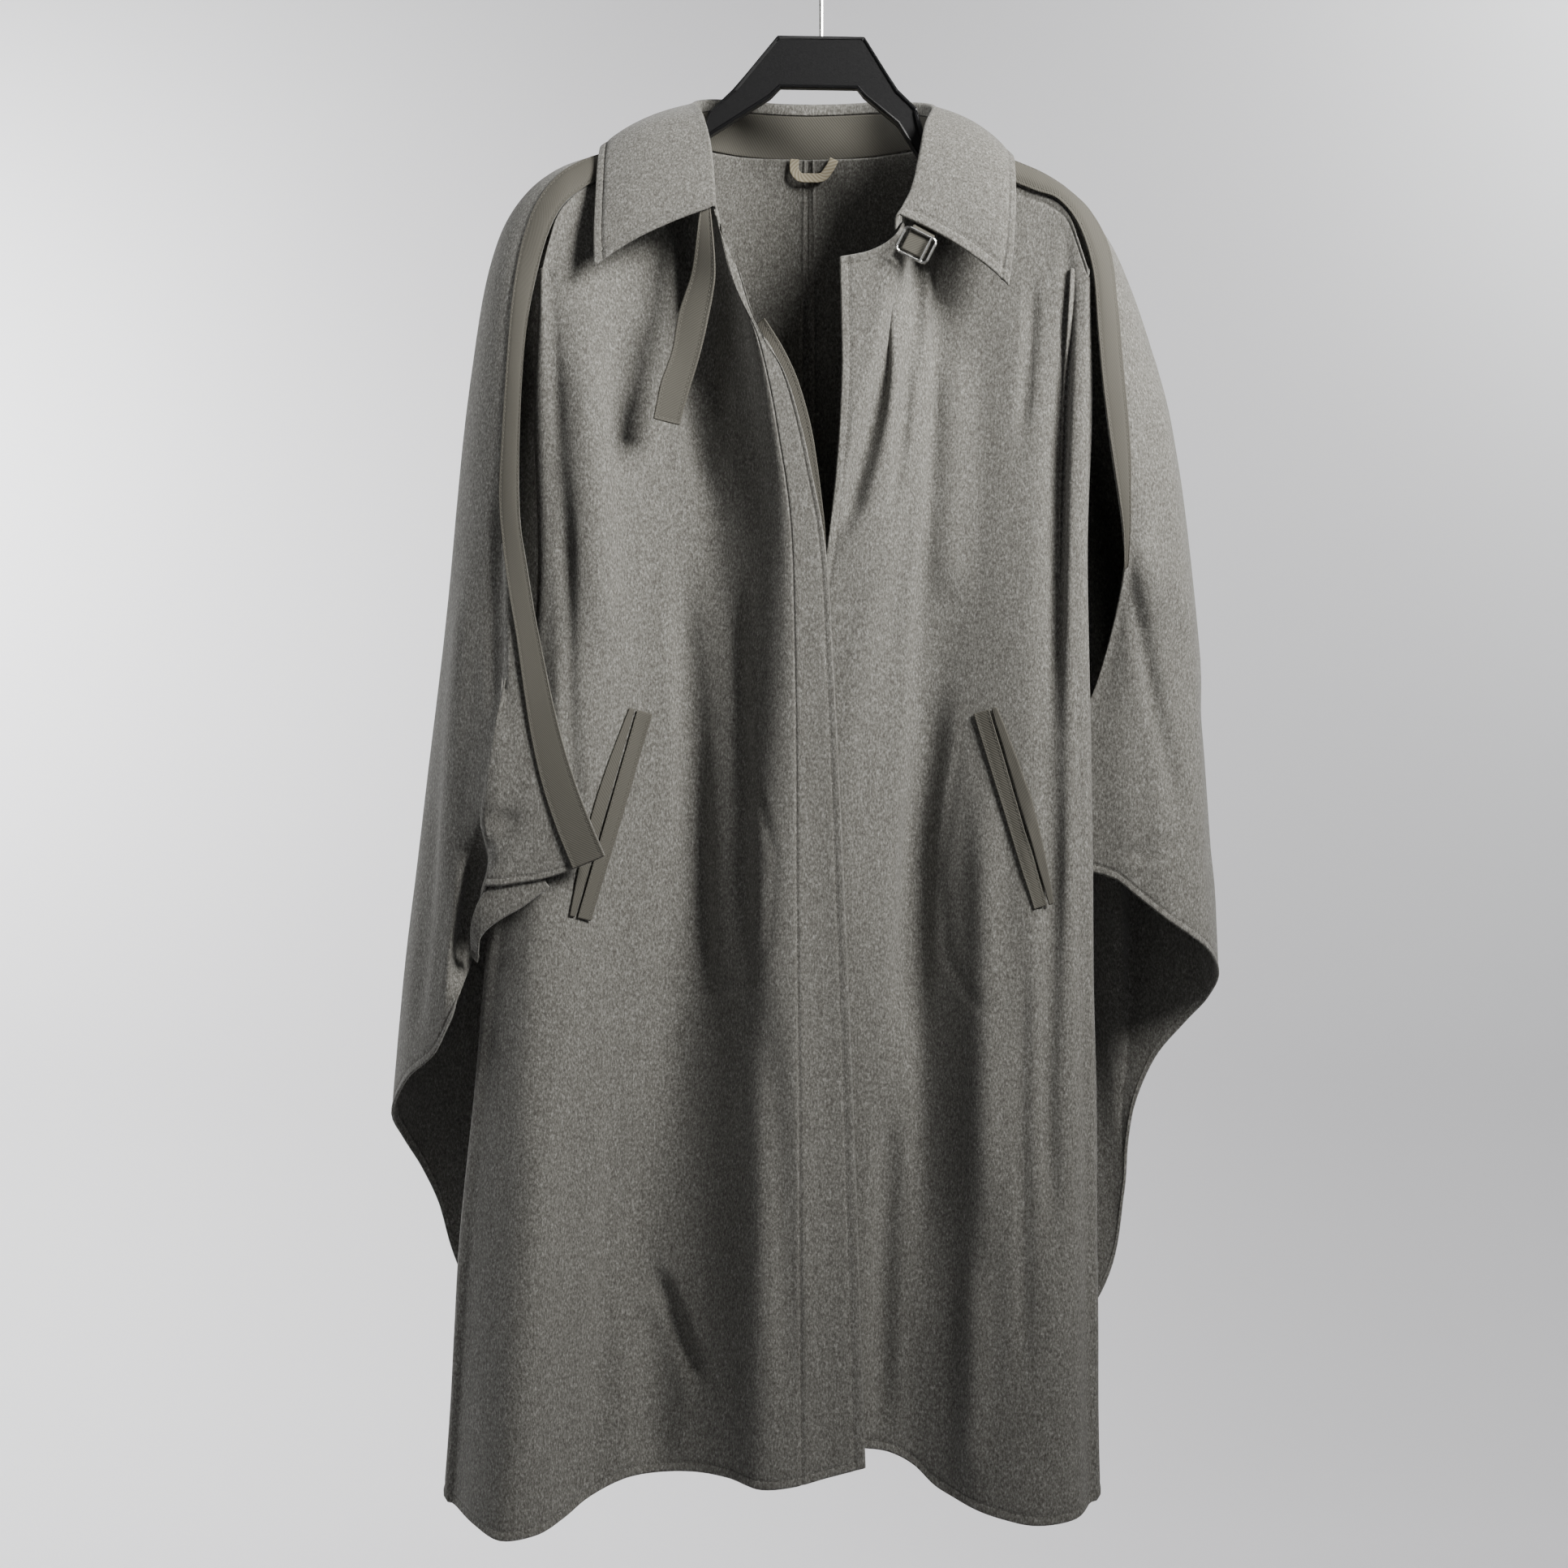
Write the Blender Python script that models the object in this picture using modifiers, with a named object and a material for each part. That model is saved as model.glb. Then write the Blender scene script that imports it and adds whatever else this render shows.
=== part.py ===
"""A wool cape coat hanging open on a plastic hanger, in metres.

X runs to the wearer's left, -Y is the front and Z is up. The origin is the point where the
hook bears on its rail. Sides are the wearer's: right pieces lie at -X.
"""

import math
from collections import namedtuple

import bpy
import numpy as np
from mathutils import Vector
from mathutils.bvhtree import BVHTree

# Cloth walls and the gaps that keep the solids apart
WOOL = 0.0022
GABARDINE = 0.0011
SEAM_GAP = 0.0004
LAY_GAP = 0.0007
UNEVENNESS = 0.00006
MIDDLE_X = -0.008

# Grid sizes of the panels
FRONT_ROWS = 23
FRONT_COLUMNS = 14
TURN_COLUMNS = 6
TURN_RADIUS = 0.009
TURN_START = 0.3
TURN_RETURN = 0.012
TURN_LIFT = 0.015
TURN_LIFT_BEGINS = 0.9
WING_ROWS = 20
BACK_ROWS = WING_ROWS
BACK_COLUMNS = 9

Line = namedtuple("Line", "x y z")
Section = namedtuple("Section", "front_x front_y front_z side_x side_y side_z")
Seam = namedtuple("Seam", "across y z")
Hem = namedtuple("Hem", "round x y z")
Fold = namedtuple("Fold", "top hem begins fullest ends half_width depth")
Neck = namedtuple("Neck", "seam_x seam_y seam_z fold_x fold_y fold_z edge_x edge_y edge_z")
Strip = namedtuple("Strip", "left_x right_x y z twist")
Welt = namedtuple("Welt", "x z width")

# Collar, from the wearer's right front corner round the back to the left one. Each row gives
# the neck seam, the fold and the fall's outer edge.
COLLAR = (
    Neck(-0.0775, -0.056, -0.223, -0.0795, -0.056, -0.213, -0.1680, -0.064, -0.259),
    Neck(-0.0810, -0.046, -0.205, -0.0810, -0.047, -0.189, -0.1690, -0.056, -0.234),
    Neck(-0.0860, -0.034, -0.187, -0.0835, -0.036, -0.163, -0.1685, -0.043, -0.205),
    Neck(-0.0975, -0.016, -0.168, -0.0895, -0.019, -0.136, -0.1670, -0.019, -0.1640),
    Neck(-0.1040, 0.004, -0.154, -0.0955, 0.010, -0.122, -0.1620, 0.010, -0.1565),
    Neck(-0.0850, 0.036, -0.154, -0.0800, 0.036, -0.114, -0.1430, 0.068, -0.177),
    Neck(-0.0530, 0.058, -0.155, -0.0500, 0.062, -0.1105, -0.0870, 0.098, -0.194),
    Neck(-0.0080, 0.066, -0.156, -0.0080, 0.071, -0.1105, -0.0080, 0.108, -0.199),
    Neck(0.0370, 0.058, -0.155, 0.0350, 0.062, -0.1110, 0.0700, 0.098, -0.195),
    Neck(0.0690, 0.036, -0.154, 0.0650, 0.036, -0.1160, 0.1240, 0.068, -0.180),
    Neck(0.0905, 0.004, -0.155, 0.0870, 0.010, -0.1250, 0.1440, 0.010, -0.1625),
    Neck(0.0865, -0.016, -0.169, 0.0805, -0.018, -0.1440, 0.1475, -0.018, -0.1715),
    Neck(0.0750, -0.034, -0.190, 0.0760, -0.034, -0.168, 0.1465, -0.042, -0.206),
    Neck(0.0670, -0.045, -0.211, 0.0700, -0.045, -0.195, 0.1440, -0.056, -0.240),
    Neck(0.0560, -0.053, -0.234, 0.0580, -0.054, -0.219, 0.1395, -0.065, -0.274),
)
COLLAR_INSIDE = 0.009
COLLAR_ROLL = 0.004
COLLAR_ROWS = 33

# Back seams, measured from the middle: the wings and the back meet along them.
BACK_SEAM = (
    Seam(0.096, 0.014, -0.1565),
    Seam(0.114, 0.046, -0.180),
    Seam(0.130, 0.060, -0.220),
    Seam(0.142, 0.068, -0.270),
    Seam(0.150, 0.074, -0.340),
    Seam(0.156, 0.078, -0.430),
    Seam(0.160, 0.081, -0.560),
    Seam(0.164, 0.083, -0.680),
    Seam(0.168, 0.085, -0.800),
    Seam(0.172, 0.086, -0.920),
    Seam(0.177, 0.087, -1.030),
    Seam(0.182, 0.088, -1.125),
)
CENTRE_BACK = (
    Seam(0.0, 0.0665, -0.1565),
    Seam(0.0, 0.078, -0.250),
    Seam(0.0, 0.086, -0.450),
    Seam(0.0, 0.091, -0.800),
    Seam(0.0, 0.089, -1.130),
)

# Wing sections from the neck to the hem: the free front edge and the outermost line
WING_RIGHT = (
    Section(-0.1045, -0.005, -0.1585, -0.1070, 0.004, -0.1565),
    Section(-0.1310, -0.015, -0.1700, -0.1340, 0.002, -0.1600),
    Section(-0.1690, -0.027, -0.1890, -0.1720, 0.000, -0.1665),
    Section(-0.1960, -0.040, -0.2130, -0.2050, 0.000, -0.1800),
    Section(-0.2115, -0.051, -0.2590, -0.2360, 0.000, -0.2120),
    Section(-0.2220, -0.066, -0.3350, -0.2540, 0.000, -0.2620),
    Section(-0.2240, -0.076, -0.4260, -0.2680, 0.002, -0.3550),
    Section(-0.2170, -0.082, -0.4870, -0.2790, 0.004, -0.4500),
    Section(-0.2060, -0.086, -0.5470, -0.2900, 0.006, -0.5600),
    Section(-0.1930, -0.088, -0.6060, -0.3040, 0.008, -0.6800),
    Section(-0.1780, -0.088, -0.6540, -0.3170, 0.009, -0.7900),
    Section(-0.1600, -0.087, -0.6980, -0.3270, 0.010, -0.8970),
)
WING_LEFT = (
    Section(0.0905, -0.005, -0.1595, 0.0930, 0.004, -0.1575),
    Section(0.1170, -0.014, -0.1740, 0.1200, 0.002, -0.1640),
    Section(0.1520, -0.024, -0.1930, 0.1550, 0.000, -0.1740),
    Section(0.1830, -0.033, -0.2080, 0.1900, 0.000, -0.1960),
    Section(0.2040, -0.046, -0.2580, 0.2220, 0.000, -0.2330),
    Section(0.2090, -0.058, -0.3300, 0.2450, 0.000, -0.2910),
    Section(0.2160, -0.066, -0.3950, 0.2650, 0.002, -0.3620),
    Section(0.2220, -0.069, -0.4370, 0.2770, 0.004, -0.4250),
    Section(0.2260, -0.068, -0.4800, 0.2870, 0.006, -0.5100),
    Section(0.2140, -0.045, -0.5500, 0.2950, 0.007, -0.6000),
    Section(0.1860, -0.037, -0.6300, 0.3010, 0.008, -0.6950),
    Section(0.1800, -0.037, -0.7120, 0.3070, 0.010, -0.7890),
)

# Hems of the wings, by how far round they lie: 0 front edge, 1 outermost, 2 back seam
HEM_RIGHT = (
    Hem(0.00, -0.160, -0.087, -0.698),
    Hem(0.20, -0.202, -0.088, -0.714),
    Hem(0.44, -0.251, -0.088, -0.724),
    Hem(0.50, -0.258, -0.082, -0.765),
    Hem(0.56, -0.270, -0.072, -0.806),
    Hem(0.72, -0.290, -0.056, -0.848),
    Hem(0.86, -0.313, -0.030, -0.868),
    Hem(1.00, -0.328, 0.008, -0.897),
    Hem(1.18, -0.320, 0.038, -0.926),
    Hem(1.36, -0.303, 0.056, -0.957),
    Hem(1.58, -0.285, 0.070, -1.020),
    Hem(1.80, -0.245, 0.082, -1.092),
    Hem(2.00, -0.190, 0.088, -1.125),
)
HEM_LEFT = (
    Hem(0.00, 0.180, -0.037, -0.712),
    Hem(0.25, 0.200, -0.039, -0.711),
    Hem(0.44, 0.218, -0.043, -0.714),
    Hem(0.56, 0.235, -0.047, -0.727),
    Hem(0.72, 0.262, -0.046, -0.748),
    Hem(0.86, 0.292, -0.030, -0.769),
    Hem(1.00, 0.307, 0.006, -0.789),
    Hem(1.18, 0.299, 0.034, -0.815),
    Hem(1.36, 0.272, 0.050, -0.843),
    Hem(1.58, 0.246, 0.064, -0.905),
    Hem(1.80, 0.236, 0.076, -1.010),
    Hem(2.00, 0.174, 0.088, -1.125),
)
HEM_REACH = 0.45
WING_ROUND = (0.0, 0.1, 0.2, 0.3, 0.38, 0.44, 0.5, 0.56, 0.62, 0.72, 0.86, 1.0,
              1.14, 1.28, 1.42, 1.54, 1.63, 1.72, 1.85, 2.0)
PLEAT_ROUND = 0.5
PLEAT_HALF = 0.075
PLEAT_HALF_ABOVE = 0.10
PLEAT_SHIFT = 0.04
PLEAT_NARROWS = 0.93
PLEAT_DEPTH = 0.045
PLEAT_BEGINS = 0.86
PLEAT_START_SHARE = 0.36
PLEAT_HEM_SHARE = 0.59

# Fronts: shoulder and neck line, centre edge, side ridge and hem
CORNER_RIGHT = (Line(-0.0600, -0.0600, -0.2650),)
CENTRE_RIGHT = (
    Line(-0.0600, -0.0600, -0.2650),
    Line(-0.0520, -0.0640, -0.2950),
    Line(-0.0370, -0.0660, -0.3190),
    Line(-0.0220, -0.0680, -0.3530),
    Line(-0.0100, -0.0700, -0.4010),
    Line(0.0040, -0.0720, -0.4790),
    Line(0.0080, -0.0740, -0.5460),
    Line(0.0140, -0.0760, -0.6660),
    Line(0.0240, -0.0800, -0.9060),
    Line(0.0320, -0.0850, -1.1490),
)
SIDE_RIGHT = (
    Line(-0.2060, -0.0560, -0.3640),
    Line(-0.2030, -0.0600, -0.4850),
    Line(-0.2150, -0.0620, -0.6200),
    Line(-0.2380, -0.0640, -0.7560),
    Line(-0.2500, -0.0660, -0.8780),
    Line(-0.2610, -0.0680, -1.0040),
    Line(-0.2720, -0.0700, -1.1790),
)
BOTTOM_RIGHT = (
    Line(-0.2720, -0.0700, -1.1790),
    Line(-0.2610, -0.0850, -1.1850),
    Line(-0.2320, -0.1050, -1.1960),
    Line(-0.2000, -0.0980, -1.1920),
    Line(-0.1780, -0.0740, -1.1770),
    Line(-0.1340, -0.0600, -1.1590),
    Line(-0.0850, -0.0680, -1.1560),
    Line(-0.0400, -0.0920, -1.1630),
    Line(0.0320, -0.0850, -1.1490),
)
FOLDS_RIGHT = (
    Fold(0.22, 0.20, 0.00, 0.12, 0.60, 0.16, -0.006),
    Fold(0.52, 0.52, 0.02, 0.10, 0.34, 0.09, 0.009),
    Fold(0.55, 0.56, 0.30, 0.62, 1.20, 0.14, 0.012),
    Fold(0.36, 0.50, 0.60, 0.84, 0.98, 0.07, 0.009),
    Fold(0.80, 0.80, 0.35, 0.80, 1.40, 0.14, -0.006),
    Fold(0.18, 0.15, 0.55, 1.00, 1.60, 0.15, -0.008),
)

CORNER_LEFT = (Line(0.0500, -0.0530, -0.2430), Line(0.0150, -0.0530, -0.2520))
CENTRE_LEFT = (
    Line(0.0150, -0.0530, -0.2520),
    Line(0.0165, -0.0560, -0.3320),
    Line(0.0130, -0.0600, -0.4000),
    Line(0.0030, -0.0630, -0.4850),
    Line(-0.0120, -0.0640, -0.5600),
    Line(-0.0250, -0.0650, -0.6800),
    Line(-0.0280, -0.0660, -0.9000),
    Line(-0.0280, -0.0680, -1.1380),
)
SIDE_LEFT = (
    Line(0.1940, -0.0580, -0.3640),
    Line(0.1910, -0.0640, -0.4850),
    Line(0.1920, -0.0660, -0.6060),
    Line(0.1950, -0.0660, -0.7860),
    Line(0.1970, -0.0660, -0.9000),
    Line(0.2000, -0.0660, -1.1790),
)
BOTTOM_LEFT = (
    Line(0.2000, -0.0660, -1.1790),
    Line(0.1880, -0.0860, -1.1860),
    Line(0.1600, -0.0960, -1.1890),
    Line(0.1240, -0.0860, -1.1830),
    Line(0.0840, -0.0640, -1.1660),
    Line(0.0600, -0.0560, -1.1460),
    Line(0.0330, -0.0580, -1.1400),
    Line(-0.0280, -0.0680, -1.1380),
)
FOLDS_LEFT = (
    Fold(0.16, 0.16, 0.02, 0.20, 0.85, 0.10, 0.009),
    Fold(0.66, 1.30, -0.05, 0.06, 0.34, 0.11, 0.012),
    Fold(0.58, 0.58, 0.06, 0.30, 0.62, 0.16, -0.007),
    Fold(0.55, 0.52, 0.40, 0.62, 0.92, 0.13, 0.010),
    Fold(0.36, 0.36, 0.45, 0.75, 1.20, 0.12, -0.006),
)

# Pockets: the slit line of each, from its top to its bottom
POCKET_RIGHT = (Welt(-0.1390, -0.590, 0.0125), Welt(-0.1820, -0.744, 0.0105))
POCKET_LEFT = (Welt(0.1270, -0.590, 0.0125), Welt(0.1680, -0.735, 0.0105))
WELT_STEPS = 12
LIP_WIDTH = 0.0045
LIP_BULGE = 0.0050
SLIT_GAP = 0.0012

# Collar strap, hanging from the right end of the collar
STRAP = (
    Strip(-0.0890, -0.0830, -0.0527, -0.2130, 0.0000),
    Strip(-0.0905, -0.0820, -0.0550, -0.2230, 0.0010),
    Strip(-0.0955, -0.0790, -0.0620, -0.2620, 0.0040),
    Strip(-0.1055, -0.0840, -0.0650, -0.2960, 0.0020),
    Strip(-0.1105, -0.0910, -0.0670, -0.3260, 0.0000),
    Strip(-0.1175, -0.0970, -0.0675, -0.3450, -0.0020),
    Strip(-0.1235, -0.1055, -0.0675, -0.3740, -0.0030),
)
STRAP_STEPS = 13

BUCKLE_CENTRE = (0.0710, -0.0640, -0.2445)
BUCKLE_TURN = math.radians(-27)
BUCKLE_WIDTH = 0.0250
BUCKLE_HEIGHT = 0.0195
BUCKLE_WIRE = 0.0011

# Hanger: half outlines from the middle outwards, on the two sides
HANGER_THICK = 0.0100
PLATE_TOP = ((-0.0322, -0.0745), (0.0341, -0.0755))
PLATE_SHOULDER = ((-0.0665, -0.1160), (0.0595, -0.1160))
ARM_NECK_TOP = ((-0.0850, -0.1335), (0.0740, -0.1300))
ARM_NECK_LOW = ((-0.0380, -0.1220), (0.0335, -0.1210))
ARM_LOW = ((-0.0830, -0.1505), (0.0590, -0.1420))
PLATE_LOW = ((-0.0298, -0.1140), (0.0285, -0.1150))
ARM_UNDER_SEAM = (((-0.0915, -0.1510), (-0.0975, -0.1650), (-0.1340, -0.1650)),
                  ((0.0795, -0.1490), (0.0845, -0.1655), (0.1200, -0.1690)))
ARM_DROP = WOOL + 0.0023
ARM_END_X = (-0.2000, 0.1830)
ARM_DEPTH = 0.0190
HOOK_WIRE = 0.0035
HOOK_RADIUS = 0.0190
HOOK_TIP_TURN = math.radians(205)

NECK_DROP = 0.0016
SHOULDER_GAP = 0.0010
SLIT_SECTION = 4
HEM_SWELL = 0.008
INNER_FOLD_DEPTH = 0.045
INNER_FOLD_ROUND = 1.66
INNER_FOLD_HALF = 0.16
BAND_WIDTH = 0.0245
BAND_COLUMNS = 5
BAND_GAP = 0.0012
BAND_FIRST_ROW = 3
BAND_LEFT_ROWS = 15
BAND_LEFT_WHOLE = 4
BAND_LEFT_TAPER = 0.92
FALL_STEPS = 7
FALL_ARCH = 0.22
END_ARCH = 0.44
COLLAR_END = (0.82, 1.0)
STAND_WALL = 0.0014
STAND_GAP = 0.0018
STAND_ROWS = (6, 27)
LEG_WHOLE = (0.45, 0.65)
LEG_SHARE = 0.8
FACING_ROWS = 7
FACING_STEPS = 10
FACING_OFFSETS = (0.002, 0.009, 0.020)
FACING_GAP = 0.0010
FACING_NARROW = 0.35
FACING_SHOWS = 0.007
WELT_LIFT = 0.0019
WELT_COLUMNS = 3
STRAP_LEAN = 0.004
STRAP_WALL = 0.0018
BUCKLE_CORNER = 0.0030
PRONG_WIRE = 0.0009
TAB_HALF = 0.0085
TAB_ROWS = ((0.0194, 0.0100), (0.0155, 0.0098), (0.0114, 0.0010), (0.0098, 0.0), (-0.0065, 0.0))
LOOP = (
    Line(-0.0190, 0.0602, -0.1565),
    Line(-0.0195, 0.0597, -0.1640),
    Line(-0.0130, 0.0592, -0.1710),
    Line(0.0010, 0.0592, -0.1710),
    Line(0.0080, 0.0597, -0.1640),
    Line(0.0120, 0.0602, -0.1565),
)
LOOP_STEPS = 11
LOOP_WIDTH = 0.0065
LOOP_WALL = 0.0008
Ply = namedtuple("Ply", "upper_x upper_y upper_z lower_x lower_y lower_z")
UNDERARM = (
    Ply(-0.2050, -0.0845, -0.7160, -0.2010, -0.0840, -0.7215),
    Ply(-0.2280, -0.0850, -0.7150, -0.2215, -0.0845, -0.7365),
    Ply(-0.2460, -0.0840, -0.7230, -0.2380, -0.0830, -0.7460),
    Ply(-0.2590, -0.0760, -0.7500, -0.2530, -0.0770, -0.7600),
    Ply(-0.2610, -0.0600, -0.7720, -0.2560, -0.0620, -0.7780),
)
UNDERARM_WALL = 0.0018
HANGER_ROUND = 0.0020
ARM_END_ROUND = 0.0030
HOOK_STEM_X = 0.0012
HOOK_FOOT_Z = -0.0747

COLOURS = {
    "wool": ((0.150, 0.145, 0.130, 1.0), 0.95, 0.0),
    "gabardine": ((0.090, 0.088, 0.074, 1.0), 0.75, 0.0),
    "tape": ((0.330, 0.290, 0.210, 1.0), 0.85, 0.0),
    "plastic": ((0.008, 0.008, 0.009, 1.0), 0.40, 0.0),
    "steel": ((0.560, 0.560, 0.550, 1.0), 0.25, 1.0),
}


def clear_scene():
    for item in list(bpy.data.objects):
        bpy.data.objects.remove(item)


def material(name):
    found = bpy.data.materials.get(name)
    if found:
        return found
    colour, roughness, metallic = COLOURS[name]
    made = bpy.data.materials.new(name)
    made.use_nodes = True
    shader = made.node_tree.nodes["Principled BSDF"]
    shader.inputs["Base Color"].default_value = colour
    shader.inputs["Roughness"].default_value = roughness
    shader.inputs["Metallic"].default_value = metallic
    return made


def ramp(value, low, high):
    """A soft step from 0 at low to 1 at high."""
    share = np.clip((np.asarray(value, float) - low) / (high - low), 0.0, 1.0)
    return share * share * (3.0 - 2.0 * share)


def table(rows):
    return np.array([tuple(row) for row in rows], float)


def interpolate(knots, values, at):
    """A smooth line through the values that never swings past them."""
    knots = np.asarray(knots, float)
    values = np.asarray(values, float)
    steps = np.diff(knots)[:, None]
    slopes = np.diff(values, axis=0) / steps
    tangents = np.empty_like(values)
    tangents[0] = slopes[0]
    tangents[-1] = slopes[-1]
    product = slopes[:-1] * slopes[1:]
    total = slopes[:-1] + slopes[1:]
    safe = np.where(product > 0.0, total, 1.0)
    tangents[1:-1] = np.where(product > 0.0, 2.0 * product / safe, 0.0)
    at = np.asarray(at, float)
    spot = np.clip(np.searchsorted(knots, at) - 1, 0, len(knots) - 2)
    width = steps[spot]
    share = ((at - knots[spot]) / (knots[spot + 1] - knots[spot]))[:, None]
    start = (1.0 + 2.0 * share) * (1.0 - share) ** 2 * values[spot]
    end = share ** 2 * (3.0 - 2.0 * share) * values[spot + 1]
    leave = share * (1.0 - share) ** 2 * width * tangents[spot]
    arrive = share ** 2 * (share - 1.0) * width * tangents[spot + 1]
    return start + end + leave + arrive


def line_through(rows, count):
    """Evenly spaced points on the smooth line through a table's rows."""
    points = table(rows)
    chords = np.linalg.norm(np.diff(points, axis=0), axis=1)
    knots = np.concatenate(([0.0], np.cumsum(chords)))
    return interpolate(knots, points, np.linspace(0.0, knots[-1], count))


def patch(top, hem, first, last):
    """A grid of points that fills the frame of its four edge lines."""
    across = np.linspace(0.0, 1.0, len(top))[None, :, None]
    down = np.linspace(0.0, 1.0, len(first))[:, None, None]
    between_rows = (1.0 - down) * top[None] + down * hem[None]
    between_columns = (1.0 - across) * first[:, None] + across * last[:, None]
    upper = (1.0 - across) * top[0] + across * top[-1]
    lower = (1.0 - across) * hem[0] + across * hem[-1]
    return between_rows + between_columns - (1.0 - down) * upper - down * lower


def fold_relief(folds, across, down):
    """How far back the folds push a panel, for each row and column."""
    relief = np.zeros((len(down), len(across)))
    for fold in folds:
        middle = fold.top + (fold.hem - fold.top) * down
        spread = (across[None, :] - middle[:, None]) / fold.half_width
        shape = np.where(np.abs(spread) < 1.0, np.cos(spread * math.pi / 2) ** 2, 0.0)
        rise = ramp(down, fold.begins, fold.fullest) * (1.0 - ramp(down, fold.fullest, fold.ends))
        relief += fold.depth * rise[:, None] * shape
    return relief


def grid_mesh(name, points, flip):
    rows, columns = points.shape[:2]
    corners = [(row * columns + column, row * columns + column + 1,
                (row + 1) * columns + column + 1, (row + 1) * columns + column)
               for row in range(rows - 1) for column in range(columns - 1)]
    if flip:
        corners = [face[::-1] for face in corners]
    mesh = bpy.data.meshes.new(name)
    mesh.from_pydata([tuple(point) for point in points.reshape(-1, 3)], [], corners)
    mesh.shade_smooth()
    return mesh


def add_object(name, mesh, finish):
    made = bpy.data.objects.new(name, mesh)
    mesh.materials.append(material(finish))
    coat.objects.link(made)
    return made


def cloth(name, points, finish, wall, flip=False):
    """A wall of cloth whose outer face is the grid and whose thickness lies behind it."""
    made = add_object(name, grid_mesh(name, points, flip), finish)
    solid = made.modifiers.new("wall", "SOLIDIFY")
    solid.thickness = wall
    solid.offset = -1.0
    solid.use_quality_normals = True
    return made


def uneven(points):
    """The grid with every other point a little forward, as cloth is never quite flat."""
    row, column = np.indices(points.shape[:2])
    moved = points.copy()
    moved[:, :, 1] += UNEVENNESS * np.cos(math.pi * (row + column))
    return moved


def grid_normals(points, flip):
    """Outward unit normals of a grid, point by point."""
    along_rows = np.gradient(points, axis=0)
    along_columns = np.gradient(points, axis=1)
    normals = np.cross(along_rows, along_columns)
    normals /= np.linalg.norm(normals, axis=2, keepdims=True)
    return normals if flip else -normals


class Face:
    """The outer face of a panel, read along Y from the front."""

    def __init__(self, points):
        rows, columns = points.shape[:2]
        corners = [(row * columns + column, row * columns + column + 1,
                    (row + 1) * columns + column + 1, (row + 1) * columns + column)
                   for row in range(rows - 1) for column in range(columns - 1)]
        self.tree = BVHTree.FromPolygons([tuple(p) for p in points.reshape(-1, 3)], corners)

    def at(self, x, z, lift):
        place, normal, _, _ = self.tree.ray_cast(Vector((x, -1.0, z)), Vector((0.0, 1.0, 0.0)))
        if normal.y > 0.0:
            normal = -normal
        return np.array(place + normal * lift)


def neck_line(rows):
    """Points just under the collar's neck seam, where a panel's own neck edge lies."""
    points = table(COLLAR)[rows, :3]
    points[:, 2] -= NECK_DROP
    return points


def top_line(sections, collar_rows, corner, turn):
    """A front's upper edge: the shoulder seam beside the wing, the neck seam and the corner."""
    shoulder = table(sections)[SLIT_SECTION:0:-1, :3]
    shoulder[:, 0] -= turn * SHOULDER_GAP
    shoulder[0, 0] -= turn * TURN_START * TURN_RADIUS
    shoulder[:, 2] -= SHOULDER_GAP
    shoulder_neck = table(sections)[0, :3] + (-turn * SHOULDER_GAP, -0.004, -0.004)
    return np.concatenate((shoulder, [shoulder_neck], neck_line(collar_rows), table(corner)))


def front_panel(name, top, centre, side, bottom, folds, turn):
    """A front with its cut edge at the middle and its side turned back round a soft ridge.

    turn is -1 on the right front and 1 on the left one: the way its side faces along X.
    """
    across = np.linspace(0.0, 1.0, FRONT_COLUMNS)
    down = np.linspace(0.0, 1.0, FRONT_ROWS)
    side = np.concatenate((top[:1], table(side)))
    panel = patch(line_through(top, FRONT_COLUMNS), line_through(bottom, FRONT_COLUMNS),
                  line_through(side, FRONT_ROWS), line_through(centre, FRONT_ROWS))
    panel[:, :, 1] += fold_relief(folds, across, down)
    radius = TURN_RADIUS * (TURN_START + (1.0 - TURN_START) * ramp(down, 0.0, 0.12))
    lift = TURN_LIFT * ramp(down, TURN_LIFT_BEGINS, 1.0)
    turned = np.repeat(panel[:, :1], TURN_COLUMNS, axis=1)
    angles = np.linspace(math.pi, 0.0, TURN_COLUMNS - 1, endpoint=False)
    for column, angle in enumerate(angles):
        turned[:, column + 1, 0] += turn * radius * math.sin(angle)
        turned[:, column + 1, 1] += radius * (1.0 - math.cos(angle))
        turned[:, column + 1, 2] += lift * (1.0 - math.cos(angle)) / 2.0
    turned[:, 0, 0] -= turn * TURN_RETURN
    turned[:, 0, 1] += 2.0 * radius
    turned[:, 0, 2] += lift
    points = np.concatenate((turned, panel), axis=1)
    cloth(name, uneven(points), "wool", WOOL, flip=turn < 0)
    return panel


def hump(places, middle, half):
    spread = (np.asarray(places, float) - middle) / half
    return np.where(np.abs(spread) < 1.0, np.cos(spread * math.pi / 2) ** 2, 0.0)


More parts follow.
